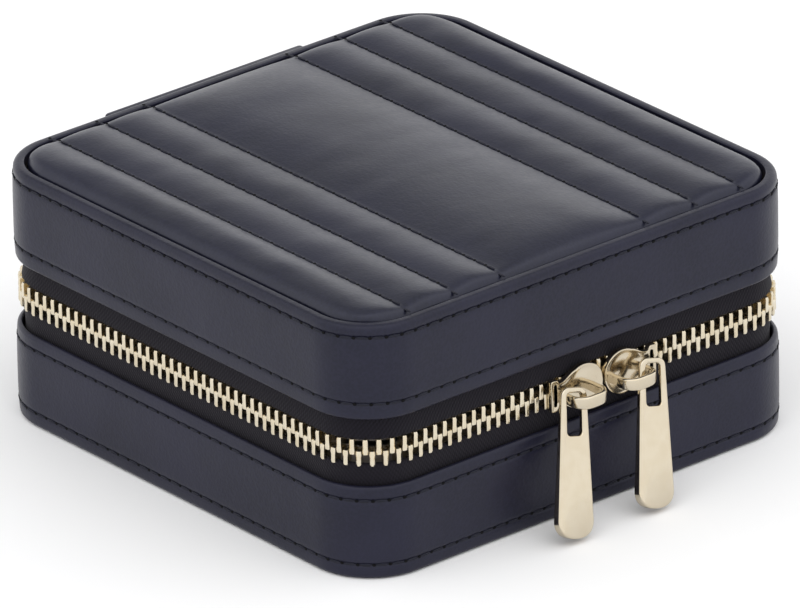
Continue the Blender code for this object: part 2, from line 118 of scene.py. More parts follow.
class Finish:
    """A material on a Principled shader. Uniform values are given by name, with _ for a space."""

    def __init__(self, name, **uniform):
        self.material = bpy.data.materials.new(name)
        self.material.use_nodes = True
        self.tree = self.material.node_tree
        self.shader = self.tree.nodes["Principled BSDF"]
        for socket, value in uniform.items():
            self.shader.inputs[socket.replace("_", " ")].default_value = value
        place = self.node("TexCoord", output="Object")
        self.mm = self.node("VectorMath", {"operation": "SCALE"}, {0: place, "Scale": MM_PER_METRE})

    def node(self, kind, settings=None, values=None, output=0):
        made = self.tree.nodes.new("ShaderNode" + kind)
        for key, value in (settings or {}).items():
            setattr(made, key, value)
        for key, value in (values or {}).items():
            self.join(made.inputs[key], value)
        return Wire(self, made.outputs[output])

    def join(self, socket, value):
        if isinstance(value, Wire):
            self.tree.links.new(value.socket, socket)
        else:
            socket.default_value = value

    def axes(self, vector):
        return [self.node("SeparateXYZ", None, {0: vector}, axis) for axis in range(3)]

    def cloud(self, per_mm, detail=2.0, vector=None):
        values = {"Vector": vector or self.mm, "Scale": per_mm, "Detail": detail}
        return self.node("TexNoise", None, values)

    def cells(self, per_mm):
        values = {"Vector": self.mm, "Scale": per_mm, "Smoothness": 0.35}
        return self.node("TexVoronoi", {"feature": "SMOOTH_F1"}, values)

    def mix(self, share, first, second):
        values = {0: share, 6: (*first, 1) if isinstance(first, tuple) else first}
        values[7] = (*second, 1) if isinstance(second, tuple) else second
        return self.node("Mix", {"data_type": "RGBA"}, values, 2)

    def wear(self, **varying):
        for socket, value in varying.items():
            self.join(self.shader.inputs[socket.replace("_", " ")], value)

    def relief(self, *layers):
        """Bump layers, each a height from 0 to 1 and its depth in metres."""
        normal = None
        for height, depth in layers:
            values = {"Height": height, "Distance": depth, "Strength": 1.0}
            if normal:
                values["Normal"] = normal
            normal = self.node("Bump", None, values)
        self.wear(Normal=normal)


def leather(name, dark, light, roughness, grain_depth=0.000022, grain_per_mm=1.5, shine=0.31):
    """Fine-grained leather: pores, faint creases and a slightly uneven dye and polish."""
    finish = Finish(name, Specular_IOR_Level=shine, Specular_Tint=(0.86, 0.87, 1.0, 1.0))
    dye = finish.cloud(0.045, 3.0)
    pores = finish.cells(grain_per_mm)
    creases = finish.cloud(0.55, 4.0)
    waves = finish.cloud(0.07, 1.0)
    shade = finish.mix(dye.over(0.3, 0.7), dark, light)
    pale = tuple(1.4 * c for c in light)
    finish.wear(Base_Color=finish.mix(pores.over(0.35, 0.75) * 0.35, shade, pale))
    finish.wear(Roughness=roughness + 0.10 * creases + 0.06 * pores - 0.05)
    finish.relief((waves, 0.00022), (creases, 0.00003), (pores, grain_depth))
    return finish.material


navy_leather = leather("navy_leather", (0.0060, 0.0062, 0.0145), (0.0095, 0.0096, 0.0215), 0.33)


def plan(half_x, half_y, radius, inset=0.0, gap=0.0, step=PLAN_STEP):
    """(point, outward normal) round the case's plan, anticlockwise from the middle of the back.

    With a gap, the round starts and ends that far from the middle of the back."""
    core_x, core_y = half_x - radius, half_y - radius
    places = []

    def straight(start, end, normal):
        count = max(1, round((end - start).length / step))
        places.extend((start.lerp(end, i / count), normal) for i in range(count))

    def turn(centre, facing):
        for i in range(TURN_STEPS):
            angle = math.radians(facing + 90 * i / TURN_STEPS)
            normal = Vector((math.cos(angle), math.sin(angle)))
            places.append((centre + normal * radius, normal))

    straight(Vector((-gap, half_y)), Vector((-core_x, half_y)), Vector((0, 1)))
    turn(Vector((-core_x, core_y)), 90)
    straight(Vector((-half_x, core_y)), Vector((-half_x, -core_y)), Vector((-1, 0)))
    turn(Vector((-core_x, -core_y)), 180)
    straight(Vector((-core_x, -half_y)), Vector((core_x, -half_y)), Vector((0, -1)))
    turn(Vector((core_x, -core_y)), 270)
    straight(Vector((half_x, -core_y)), Vector((half_x, core_y)), Vector((1, 0)))
    turn(Vector((core_x, core_y)), 0)
    straight(Vector((core_x, half_y)), Vector((gap, half_y)), Vector((0, 1)))
    if gap:
        places.append((Vector((gap, half_y)), Vector((0, 1))))
    return [(point - normal * inset, normal) for point, normal in places]


def at(place, inset, z):
    point, normal = place
    return Vector((*(point - normal * inset), z))


def mesh_of(bm, name):
    """The mesh of a finished bmesh, which is then freed."""
    mesh = bpy.data.meshes.new(name)
    bm.to_mesh(mesh)
    bm.free()
    return mesh


def add_piece(name, mesh, material):
    mesh.materials.clear()
    mesh.materials.append(material)
    mesh.shade_smooth()
    mesh.set_sharp_from_angle(angle=CREASE_ANGLE)
    piece = bpy.data.objects.new(name, mesh)
    bpy.context.scene.collection.objects.link(piece)
    return piece


def loft(name, rings, material, loop=False):
    """A closed skin through rings of points, capped at both ends or joined end to end."""
    count = len(rings[0])
    bm = bmesh.new()
    uv = bm.loops.layers.uv.new("UVMap")
    around, along = [0.0], [0.0]
    for j in range(count):
        around.append(around[-1] + (rings[0][(j + 1) % count] - rings[0][j]).length)
    for i in range(len(rings)):
        along.append(along[-1] + (rings[(i + 1) % len(rings)][0] - rings[i][0]).length)
    rows = [[bm.verts.new(point) for point in ring] for ring in rings]
    for i in range(len(rings) if loop else len(rings) - 1):
        near, far = rows[i], rows[(i + 1) % len(rows)]
        for j in range(count):
            k = (j + 1) % count
            face = bm.faces.new((near[j], near[k], far[k], far[j]))
            spots = ((j, i), (j + 1, i), (j + 1, i + 1), (j, i + 1))
            for corner, (a, b) in zip(face.loops, spots):
                corner[uv].uv = (around[a], along[b])
    if not loop:
        bm.faces.new(rows[0][::-1])
        bm.faces.new(rows[-1])
    bmesh.ops.recalc_face_normals(bm, faces=bm.faces)
    return add_piece(name, mesh_of(bm, name), material)


def fasten(piece, body, slot, *nodes):
    """The piece rides on a body and stands for CAD nodes, which it hides; the slot is not used."""
    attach(piece, body)
    if nodes:
        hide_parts(*nodes)
    return piece


def quarter(steps=ROUND_STEPS):
    """Sine and cosine of angles from 0 to 90 degrees."""
    angles = [math.pi / 2 * i / steps for i in range(steps + 1)]
    return [(math.sin(a), math.cos(a)) for a in angles]


def groove(distance):
    return SEAM_GROOVE_DEPTH * math.exp(-((distance / SEAM_GROOVE_WIDTH) ** 2))


def wall_section(low, high, seams, low_round, high_round, thickness):
    """(inset, height) round a leather wall, up its outer face and down its inner one."""
    from_z, to_z = low + low_round, high - high_round
    levels = [from_z + (to_z - from_z) * i / WALL_LEVELS for i in range(WALL_LEVELS + 1)]
    levels = [z for z in levels if all(abs(z - seam) > GROOVE_CLEAR for seam in seams)]
    levels += [seam + offset * SEAM_GROOVE_WIDTH for seam in seams for offset in GROOVE_OFFSETS]
    face = []
    for z in sorted(levels):
        share = 2 * (z - from_z) / (to_z - from_z) - 1
        inset = WALL_BULGE * share**4 + sum(groove(z - seam) for seam in seams)
        face.append((inset, z))
    edge = WALL_BULGE
    bottom = [(edge + low_round * (1 - s), low + low_round * (1 - c)) for s, c in quarter()]
    top = [(edge + high_round * (1 - c), high - high_round * (1 - s)) for s, c in quarter()]
    tuck = INNER_EDGE_SHARE * thickness
    inner = [(thickness - tuck, high), (thickness, high - tuck)]
    inner += [(thickness, low + tuck), (thickness - tuck, low)]
    return bottom[:-1] + face + top[1:] + inner


base_low, base_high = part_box("base_leather_band")
half_x, half_y = base_high.x, base_high.y
base_seams = (base_low.z + BASE_SEAM_FROM_FLOOR, base_high.z - BASE_SEAM_FROM_OPENING)
round_plan = plan(half_x, half_y, CORNER_RADIUS)


def band(name, section):
    rings = [[at(place, inset, z) for place in round_plan] for inset, z in section]
    return loft(name, rings, navy_leather, loop=True)


base_section = wall_section(
    base_low.z, base_high.z, base_seams, BASE_LOW_ROUND, BASE_HIGH_ROUND, WALL_THICKNESS
)
fasten(band("base_wall", base_section), "base", "navy_leather", "base_leather_band")

# Stitches
# Waxed navy thread, sewn through the wall in even stitches that dip into their holes; each hole
# is a near-black bead of painted shade. One tree of Geometry Nodes sets a piece at even steps
# along a path, for stitches, holes and zip teeth.

STITCH_PITCH = 0.00345
STITCH_LENGTH = 0.0027
STITCH_WIDTH = 0.00074
STITCH_HEIGHT = 0.00038
HOLE_LENGTH = 0.00085
HOLE_WIDTH = 0.00078
HOLE_DEPTH = 0.00016
THREAD_SINK = 0.00006
BEAD_SIDES = 6
BEAD_PLUMPNESS = 0.8


def make_repeat_tree():
    tree = bpy.data.node_groups.new("repeat_along_path", "GeometryNodeTree")
    face = tree.interface
    face.new_socket("Path", in_out="INPUT", socket_type="NodeSocketGeometry")
    for name, kind in (
        ("Piece", "Object"),
        ("Pitch", "Float"),
        ("Shift", "Float"),
        ("Size", "Vector"),
        ("Finish", "Material"),
    ):
        face.new_socket(name, in_out="INPUT", socket_type="NodeSocket" + kind)
    face.new_socket("Pieces", in_out="OUTPUT", socket_type="NodeSocketGeometry")

    def node(kind, settings=None, values=None):
        made = tree.nodes.new(kind)
        for key, value in (settings or {}).items():
            setattr(made, key, value)
        for key, value in (values or {}).items():
            if isinstance(value, bpy.types.NodeSocket):
                tree.links.new(value, made.inputs[key])
            else:
                made.inputs[key].default_value = value
        return made.outputs

    def named(name):
        return node(
            "GeometryNodeInputNamedAttribute", {"data_type": "FLOAT_VECTOR"}, {"Name": name}
        )["Attribute"]

    given = node("NodeGroupInput")
    along, facing = named("along"), named("facing")
    line = node("GeometryNodeMeshToCurve", None, {0: given["Path"]})[0]
    spots = node(
        "GeometryNodeResampleCurve", {"mode": "LENGTH"}, {0: line, "Length": given["Pitch"]}
    )[0]
    reach = node("ShaderNodeMath", {"operation": "MULTIPLY"}, {0: given["Pitch"], 1: given["Shift"]})
    offset = node("ShaderNodeVectorMath", {"operation": "SCALE"}, {0: along, "Scale": reach[0]})
    moved = node("GeometryNodeSetPosition", None, {0: spots, "Offset": offset[0]})[0]
    turn = node(
        "FunctionNodeAxesToRotation",
        {"primary_axis": "Y", "secondary_axis": "X"},
        {0: facing, 1: along},
    )[0]
    shape = node("GeometryNodeObjectInfo", None, {0: given["Piece"]})["Geometry"]
    copies = node(
        "GeometryNodeInstanceOnPoints",
        None,
        {"Points": moved, "Instance": shape, "Rotation": turn, "Scale": given["Size"]},
    )[0]
    real = node("GeometryNodeRealizeInstances", None, {0: copies})[0]
    painted = node("GeometryNodeSetMaterial", None, {0: real, "Material": given["Finish"]})[0]
    node("NodeGroupOutput", None, {0: painted})
    return tree


repeat_tree = make_repeat_tree()


def repeat(name, paths, shape, pitch, size, material, shift=0.0):
    """Copies of a shape at even steps along paths of (point, facing, along), as one mesh."""
    mesh = bpy.data.meshes.new(name + "_path")
    points, edges, facings, alongs = [], [], [], []
    for path, closed in paths:
        first, count = len(points), len(path)
        edges += [(first + i, first + i + 1) for i in range(count - 1)]
        if closed:
            edges.append((first + count - 1, first))
        points += [point for point, _, _ in path]
        facings += [facing for _, facing, _ in path]
        alongs += [along for _, _, along in path]
    mesh.from_pydata(points, edges, [])
    for label, vectors in (("facing", facings), ("along", alongs)):
        layer = mesh.attributes.new(label, "FLOAT_VECTOR", "POINT")
        layer.data.foreach_set("vector", [c for vector in vectors for c in vector])
    carrier = bpy.data.objects.new(name + "_path", mesh)
    sample = bpy.data.objects.new(name + "_shape", shape)
    for helper in (carrier, sample):
        bpy.context.scene.collection.objects.link(helper)
    copies = carrier.modifiers.new("Repeat", "NODES")
    copies.node_group = repeat_tree
    given = {"Piece": sample, "Pitch": pitch, "Shift": shift, "Size": size, "Finish": material}
    for item in repeat_tree.interface.items_tree:
        if item.name in given:
            copies[item.identifier] = given[item.name]
    graph = bpy.context.evaluated_depsgraph_get()
    made = bpy.data.meshes.new_from_object(carrier.evaluated_get(graph))
    for helper in (carrier, sample):
        bpy.data.objects.remove(helper)
    made.name = name
    for label in ("facing", "along"):
        if label in made.attributes:
            made.attributes.remove(made.attributes[label])
    return add_piece(name, made, material)


def bead_shape(rings):
    """A plump spindle 1 long, 1 deep and 1 high, with a few dozen faces."""
    bm = bmesh.new()
    bmesh.ops.create_uvsphere(bm, u_segments=BEAD_SIDES, v_segments=rings, radius=0.5)
    bmesh.ops.rotate(bm, verts=bm.verts, matrix=Matrix.Rotation(math.pi / 2, 3, "Y"))
    for vertex in bm.verts:
        vertex.co.x = math.copysign(abs(2 * vertex.co.x) ** BEAD_PLUMPNESS / 2, vertex.co.x)
    return mesh_of(bm, "bead")


def thread_finish(name, dark, light):
    finish = Finish(name, Specular_IOR_Level=0.35)
    x, y, z = finish.axes(finish.mm)
    twist = ((x + y + z) * 9.0).wave() * 0.5 + 0.5
    fuzz = finish.cloud(2.5)
    finish.wear(Base_Color=finish.mix(twist * 0.5 + fuzz * 0.4, dark, light))
    finish.wear(Roughness=0.62 + 0.2 * fuzz)
    finish.relief((twist, 0.00005), (fuzz, 0.00002))
    return finish.material


# Needle holes in painted shade: a near-black colour with a faint mottle stands for the shade inside
# each hole.
def hole_shade_finish(name, colour):
    finish = Finish(name, Specular_IOR_Level=0.2)
    shade_mottle = finish.cloud(3.0)
    finish.wear(Base_Color=finish.mix(shade_mottle, colour, tuple(1.6 * c for c in colour)))
    finish.wear(Roughness=0.85 + 0.1 * shade_mottle)
    finish.relief((shade_mottle, 0.00001))
    return finish.material


thread = thread_finish("navy_thread", (0.0020, 0.0022, 0.0070), (0.0060, 0.0070, 0.0200))
needle_hole_shade = hole_shade_finish("needle_hole_shade", (0.0010, 0.0010, 0.0016))
thread_shape, hole_shape = bead_shape(5), bead_shape(4)


def ring_path(z, inset):
    """A closed path round the case for repeat(), facing outwards."""
    path = []
    for point, normal in round_plan:
        facing = Vector((*normal, 0))
        path.append((Vector((*(point - normal * inset), z)), facing, facing.cross((0, 0, -1))))
    return path, True


def sew(name, paths, body, slot="navy_leather"):
    """Stitches along paths on the leather's surface, and a hole of painted shade half a stitch on
    from each.
    """
    size = (STITCH_LENGTH, STITCH_HEIGHT, STITCH_WIDTH)
    shape = thread_shape.copy()
    fasten(repeat(name + "_stitches", paths, shape, STITCH_PITCH, size, thread), body, slot)
    size = (HOLE_LENGTH, HOLE_DEPTH, HOLE_WIDTH)
    shape = hole_shape.copy()
    fasten(repeat(name + "_holes", paths, shape, STITCH_PITCH, size, needle_hole_shade, 0.5), body, slot)


seam_inset = SEAM_GROOVE_DEPTH - THREAD_SINK
sew("base_wall", [ring_path(z, seam_inset) for z in base_seams], "base")

# Underside
# A leather panel set into the base wall, cut to the case's plan and glued over board. Its edge
# is turned under and pressed flat, and the case stands on it.

PANEL_GAP = 0.0003
UNDERSIDE_THICKNESS = 0.0014
UNDERSIDE_ROUND = 0.0006
UNDERSIDE_CHAMFER = 0.0002

edge = WALL_THICKNESS + PANEL_GAP
section = [(edge + UNDERSIDE_ROUND * (1 - s), UNDERSIDE_ROUND * (1 - c)) for s, c in quarter()]
section.append((edge, UNDERSIDE_THICKNESS - UNDERSIDE_CHAMFER))
section.append((edge + UNDERSIDE_CHAMFER, UNDERSIDE_THICKNESS))
rings = [[at(place, inset, z) for place in round_plan] for inset, z in section]
underside = loft("underside_panel", rings, navy_leather)
fasten(underside, "base", "navy_leather", "base_bottom_leather")

# Card boards
# Grey-brown pressed card stiffens the walls, the bottom and the lid. It is hidden between the
# leather and the lining, with fibres and flecks where it is seen on a cut edge.


def card_finish():
    finish = Finish("card_board", Specular_IOR_Level=0.2)
    stretch = {0: finish.mm, 1: (0.5, 4, 4)}
    long_grain = finish.node("VectorMath", {"operation": "MULTIPLY"}, stretch)
    fibres = finish.cloud(0.8, 5.0, long_grain)
    flecks = finish.cells(1.1).over(0.05, 0.2)
    shade = finish.mix(fibres.over(0.3, 0.7), (0.27, 0.22, 0.16), (0.43, 0.37, 0.29))
    finish.wear(Base_Color=finish.mix(1 - flecks, shade, (0.16, 0.12, 0.08)))
    finish.wear(Roughness=0.82 + 0.12 * fibres)
    finish.relief((fibres, 0.00006), (flecks, 0.00002))
    return finish.material


card = card_finish()


def coat_node(name, material):
    """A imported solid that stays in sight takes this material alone."""
    slots = frame["nodes"][name].data.materials
    slots.clear()
    slots.append(material)


for name in ("base_bottom_board", "base_frame_board", "lid_frame_board", "lid_top_board"):
    coat_node(name, card)

# Tray lining and dividers
# Warm grey suede-like cloth over thin card lines the base, and covers the three boards that
# part it into bays. The lining's mouth is rolled over and stands up into the zip's opening.

LINING_THICKNESS = 0.0012
TRAY_EDGE_ROUND = 0.0006
TRAY_RIM_ROUND = 0.0006
TRAY_CORNER_ROUND = 0.0016
DIVIDER_ROUND = 0.0007


def suede_finish(name, dark, light):
    finish = Finish(name, Sheen_Weight=0.35, Sheen_Roughness=0.5, Specular_IOR_Level=0.15)
    nap = finish.cloud(2.2, 4.0)
    brushed = finish.cloud(0.11, 3.0)
    finish.wear(Base_Color=finish.mix(nap * 0.45 + brushed.over(0.3, 0.75) * 0.5, dark, light))
    finish.wear(Roughness=0.86 + 0.12 * nap)
    finish.relief((brushed, 0.00015), (nap, 0.00007))
    return finish.material


suede = suede_finish("suede_lining", (0.24, 0.215, 0.205), (0.47, 0.43, 0.41))


def tray(name, node, closed_z, open_z):
    """A lined tray: a wall all round a flat end, with a rolled mouth."""
    outer = half_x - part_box(node)[1].x
    side = 1 if open_z > closed_z else -1
    middle, inside = open_z - side * TRAY_RIM_ROUND, closed_z + side * LINING_THICKNESS
    rim, corner = TRAY_RIM_ROUND, TRAY_CORNER_ROUND
    inner = outer + LINING_THICKNESS
    section = [(outer + TRAY_EDGE_ROUND, closed_z), (outer, closed_z + side * TRAY_EDGE_ROUND)]
    section += [(outer + rim * (1 - c), middle + side * rim * s) for s, c in quarter()]
    section += [(inner - rim * (1 - s), middle + side * rim * c) for s, c in quarter()]
    section += [(inner + corner * (1 - c), inside + side * corner * (1 - s)) for s, c in quarter()]
    rings = [[at(place, inset, z) for place in round_plan] for inset, z in section]
    return loft(name, rings, suede)


low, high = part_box("base_lining_tray")
lining = tray("tray_lining", "base_lining_tray", low.z, high.z)
fasten(lining, "base", "suede_lining", "base_lining_tray")


def soften(bm, edges, offset, segments):
    bmesh.ops.bevel(
        bm, geom=edges, offset=offset, segments=segments, profile=0.5, affect="EDGES"
    )


def soft_board(name, node):
    """A covered board: a box with rounded edges."""
    low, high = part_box(node)
    bm = bmesh.new()
    bmesh.ops.create_cube(bm, size=1.0)
    bmesh.ops.scale(bm, verts=bm.verts, vec=high - low)
    bmesh.ops.translate(bm, verts=bm.verts, vec=(low + high) / 2)
    soften(bm, bm.edges[:], DIVIDER_ROUND, 4)
    bmesh.ops.recalc_face_normals(bm, faces=bm.faces)
    return add_piece(name, mesh_of(bm, name), suede)


for name in ("long_divider", "left_cross_divider", "right_cross_divider"):
    fasten(soft_board(name + "_cover", name), "base", "suede_lining", name)

# Ring rolls
# Six foam rolls in the same cloth lie side by side and grip rings between them. Each is
# gathered a little at its ends.

ROLL_GATHER = 0.0016
ROLL_SIDES = 28
ROLL_SLACK = 0.00022
ROLL_STATIONS = 26
RIPPLE_ALONG = 160
RIPPLE_AROUND = 2
RIPPLE_PER_ROLL = 90

roll_cover = suede_finish("suede_roll", (0.26, 0.235, 0.225), (0.50, 0.46, 0.44))


def ring_roll(name, node):
    low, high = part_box(node)
    radius = (high.z - low.z) / 2 - ROLL_SLACK
    middle_y, middle_z = (low.y + high.y) / 2, (low.z + high.z) / 2
    rings = []
    for i in range(ROLL_STATIONS + 1):
        share = i / ROLL_STATIONS
        x = low.x + (high.x - low.x) * (0.5 - 0.5 * math.cos(math.pi * share))
        reach = min(x - low.x, high.x - x)
        close = math.sqrt(max(0.0, 1 - (1 - min(reach / ROLL_GATHER, 1)) ** 2))
        ring = []
        for j in range(ROLL_SIDES):
            angle = 2 * math.pi * j / ROLL_SIDES
            c, s = math.cos(angle), math.sin(angle)
            around = (c * RIPPLE_AROUND, s * RIPPLE_AROUND + middle_y * RIPPLE_PER_ROLL)
            slack = ROLL_SLACK * noise.noise(Vector((x * RIPPLE_ALONG, *around)))
            size = (radius - ROLL_GATHER * (1 - close)) + slack
            ring.append(Vector((x, middle_y + size * c, middle_z + size * s)))
        rings.append(ring)
    return loft(name, rings, roll_cover)


for number in range(1, 7):
    node = f"ring_roll_{number}"
    roll = fasten(ring_roll(f"roll_cushion_{number}", node), "base", "suede_roll", node)

# Zip tapes
# Dark woven twill, glued between leather and board and folded round the case behind the
# opening. The free edge of each tape carries a sewn-in cord that the teeth are clamped on.

TAPE_THICKNESS = 0.0006
CORD_RADIUS = 0.00055
CHAIN_HALF = 0.00312
SPREAD_HEIGHT = 0.0010
SPREAD_REACH = 0.0125
TAPE_INSET = 0.0017
TAPE_END_X = 0.0220
TAPE_CUP = 0.0003
TAPE_STEPS = 7
CORD_FROM_TEETH = 0.0001
CORD_STEPS = 8


def twill_finish():
    finish = Finish("twill_tape", Sheen_Weight=0.05, Sheen_Roughness=0.6, Specular_IOR_Level=0.12)
    woven = finish.node("TexCoord", output="UV")
    scaled = finish.node("VectorMath", {"operation": "SCALE"}, {0: woven, "Scale": MM_PER_METRE})
    u, v, _ = finish.axes(scaled)
    ribs = ((u * 1.0 + v * 1.3) * 5.2).wave() * 0.5 + 0.5
    yarns = ((v - u * 0.35) * 9.5).wave() * 0.5 + 0.5
    fuzz = finish.cloud(3.0)
    height = ribs * 0.6 + yarns * 0.4
    depth = height * 0.8 + fuzz * 0.2
    shade = finish.mix(depth, (0.0030, 0.0022, 0.0042), (0.0095, 0.0078, 0.0135))
    finish.wear(Base_Color=shade, Roughness=0.72 + 0.2 * fuzz)
    finish.relief((height, 0.00009), (fuzz, 0.00005))
    return finish.material


twill = twill_finish()
sliders_meet_x = (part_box("left_slider")[1].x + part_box("right_slider")[0].x) / 2
middle_z = (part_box("base_leather_band")[1].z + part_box("lid_leather_band")[0].z) / 2


def spread(point):
    """How far the chain stands open, where both sliders' mouths meet at the front."""
    if point.y > 0:
        return 0.0
    reach = 1 - min(abs(point.x - sliders_meet_x) / SPREAD_REACH, 1.0)
    front = 1 if point.y < -half_y + CORNER_RADIUS / 2 else 0
    return SPREAD_HEIGHT * front * reach * reach * (3 - 2 * reach)


def tape(name, node, side):
    """side is 1 for the lower tape, which stands up to the chain, and -1 for the upper one."""
    low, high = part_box(node)
    outer, inner = TAPE_INSET, TAPE_INSET + TAPE_THICKNESS
    hidden = low.z if side == 1 else high.z
    cord_z = middle_z - side * (CHAIN_HALF + CORD_FROM_TEETH)
    rings = []
    for place in plan(half_x, half_y, CORNER_RADIUS, gap=TAPE_END_X):
        shift = -side * spread(place[0])
        free = cord_z - side * CORD_RADIUS + shift
        rise = []
        for i in range(1, TAPE_STEPS):
            share = i / TAPE_STEPS
            rise.append((TAPE_CUP * math.sin(math.pi * share), hidden + (free - hidden) * share))
        ring = [(inner, hidden), (outer, hidden)]
        ring += [(outer + cup, z) for cup, z in rise]
        for i in range(CORD_STEPS + 1):
            angle = math.pi * i / CORD_STEPS
            inset = (outer + inner) / 2 - CORD_RADIUS * math.cos(angle)
            ring.append((inset, cord_z + shift + side * CORD_RADIUS * math.sin(angle)))
        ring += [(inner + cup, z) for cup, z in rise[::-1]]
        rings.append([at(place, inset, z) for inset, z in ring])
    return loft(name, rings, twill)


fasten(tape("lower_tape", "lower_zip_tape", 1), "base", "zip_tape", "lower_zip_tape")
fasten(tape("upper_tape", "upper_zip_tape", -1), "lid", "zip_tape", "upper_zip_tape")

# Zip teeth and stops
# Pale gold plated teeth are clamped on each tape's cord at one pitch, the upper row half a
# pitch along from the lower one so that they mesh. A stop ends each row by the hinge strip.

TOOTH_PITCH = 0.00264
TOOTH_OVERLAP = 0.00062
TOOTH_HEAD_WIDTH = 0.00114
TOOTH_DEPTH = 0.0028
TOOTH_ROUND = 0.00022
CHAIN_INSET = 0.0020
CHAIN_END_X = 0.0326
CHAIN_STEP = 0.001
STOP_LEVELS = 6
STOP_SIDES = 16
STOP_ENDS = 0.12
STOP_PINCH = 0.12
STOP_PINCH_REACH = 0.18


def gilt(name, pale, warm, roughness):
    """Pale gold plate, polished, with a faint haze and hairlines."""
    finish = Finish(name, Metallic=1.0, Coat_Weight=0.0)
    haze = finish.cloud(0.30, 3.0)
    hairlines = finish.cloud(5.0, 2.0)
    finish.wear(Base_Color=finish.mix(haze.over(0.3, 0.7), pale, warm))
    finish.wear(Roughness=roughness + 0.05 * haze + 0.03 * hairlines)
    finish.relief((haze, 0.000006), (hairlines, 0.0000006))
    return finish.material


gold_teeth = gilt("gold_teeth", (0.72, 0.65, 0.51), (0.68, 0.59, 0.43), 0.15)


def tooth_shape():
    """Origin on the chain's middle line; +X along the tape, +Y outwards, +Z to the tape.

    Each section is a height and its shares of the head's width and of the depth."""
    sections = (
        (-TOOTH_OVERLAP, 0.66, 0.70),
        (-TOOTH_OVERLAP + 0.00025, 1.0, 0.94),
        (0.00035, 1.08, 1.0),
        (0.0011, 0.88, 0.96),
        (CHAIN_HALF - 0.0006, 0.90, 1.0),
        (CHAIN_HALF - 0.0001, 0.76, 0.90),
    )
    bm = bmesh.new()
    rows = []
    for z, wide, deep in sections:
        x, y, r = TOOTH_HEAD_WIDTH / 2 * wide, TOOTH_DEPTH / 2 * deep, TOOTH_ROUND
        spots = ((x - r, -y), (x, -y + r), (x, y - r), (x - r, y))
        spots += tuple((-a, b) for a, b in spots[::-1])
        rows.append([bm.verts.new((a, b, z)) for a, b in spots])
    for low_row, high_row in zip(rows, rows[1:]):
        for i in range(8):
            k = (i + 1) % 8
            bm.faces.new((low_row[i], low_row[k], high_row[k], high_row[i]))
    bm.faces.new(rows[0][::-1])
    bm.faces.new(rows[-1])
    bmesh.ops.recalc_face_normals(bm, faces=bm.faces)
    return mesh_of(bm, "tooth")


def chain_path(side, shift):
    """The chain's middle line for repeat(); side is 1 where the teeth hang from the upper tape."""
    path = []
    end_x = CHAIN_END_X + shift
    for point, normal in plan(half_x, half_y, CORNER_RADIUS, gap=end_x, step=CHAIN_STEP):
        facing = Vector((*normal, 0))
        along = facing.cross((0, 0, side))
        z = middle_z + side * spread(point)
        path.append((Vector((*(point - normal * CHAIN_INSET), z)), facing, along))
    return path, False


for half, body, side, shift in (("lower", "base", -1, 0), ("upper", "lid", 1, TOOTH_PITCH / 2)):
    path, shape = chain_path(side, shift), tooth_shape()
    row = repeat(half + "_teeth", [path], shape, TOOTH_PITCH, (1, 1, 1), gold_teeth)
    fasten(row, body, "gold_teeth", half + "_zip_teeth")


def clamp_stop(name, node):
    """A small clamped block with rounded edges, pinched in the middle."""
    low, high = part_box(node)
    centre, size = (low + high) / 2, high - low
    rings = []
    for i in range(STOP_LEVELS + 1):
        share = i / STOP_LEVELS
        full = math.sin(math.pi * (STOP_ENDS + (1 - 2 * STOP_ENDS) * share)) ** 0.5
        pinch = 1 - STOP_PINCH * math.exp(-(((share - 0.5) / STOP_PINCH_REACH) ** 2))
        x, y = size.x / 2 * full, size.y / 2 * full * pinch
        ring = []
        for j in range(STOP_SIDES):
            angle = 2 * math.pi * j / STOP_SIDES
            c, s = math.cos(angle), math.sin(angle)
            across = centre.x + x * math.copysign(abs(c) ** 0.5, c)
            deep = centre.y + y * math.copysign(abs(s) ** 0.5, s)
            ring.append(Vector((across, deep, low.z + size.z * share)))
        rings.append(ring)
    return loft(name, rings, gold_teeth)


for half, body in (("lower", "base"), ("upper", "lid")):
    for hand in ("left", "right"):
        node = f"{half}_zip_stop_{hand}"
        fasten(clamp_stop(f"{half}_stop_{hand}", node), body, "gold_teeth", node)

# Lid wall
# The same leather over board as the base wall. Its upper edge is turned in as a rounded rim
# that stands round the padded panel.

LID_LOW_ROUND = 0.0009
LID_RIM_ROUND = 0.0012
LID_RIM_ABOVE_BAND = 0.0006
LID_RIM_WIDTH = 0.0027
LID_RIM_DEPTH = 0.0034
LID_RIM_INNER_ROUND = 0.0004
LID_SEAM_FROM_OPENING = 0.0038
LID_SEAM_FROM_RIM = 0.0026

lid_low, lid_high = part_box("lid_leather_band")
rim_z = lid_high.z + LID_RIM_ABOVE_BAND
lid_seams = (lid_low.z + LID_SEAM_FROM_OPENING, rim_z - LID_SEAM_FROM_RIM)
lid_section = wall_section(
    lid_low.z, rim_z, lid_seams, LID_LOW_ROUND, LID_RIM_ROUND, WALL_THICKNESS
)
rim_inside = [
    (LID_RIM_WIDTH - LID_RIM_INNER_ROUND * (1 - s), rim_z - LID_RIM_INNER_ROUND * (1 - c))
    for s, c in quarter()
]
rim_foot = rim_z - LID_RIM_DEPTH
rim_inside += [(LID_RIM_WIDTH, rim_foot), (WALL_THICKNESS, rim_foot)]
lid_section = lid_section[:-4] + rim_inside + lid_section[-2:]
fasten(band("lid_wall", lid_section), "lid", "navy_leather", "lid_leather_band")
sew("lid_wall", [ring_path(z, seam_inset) for z in lid_seams], "lid")

# Quilted panel
# Soft navy leather over wadding fills the lid inside the rim. Six straight seams sew it down
# into channels either side of a wide plain middle, and their ends dent the panel's edge.

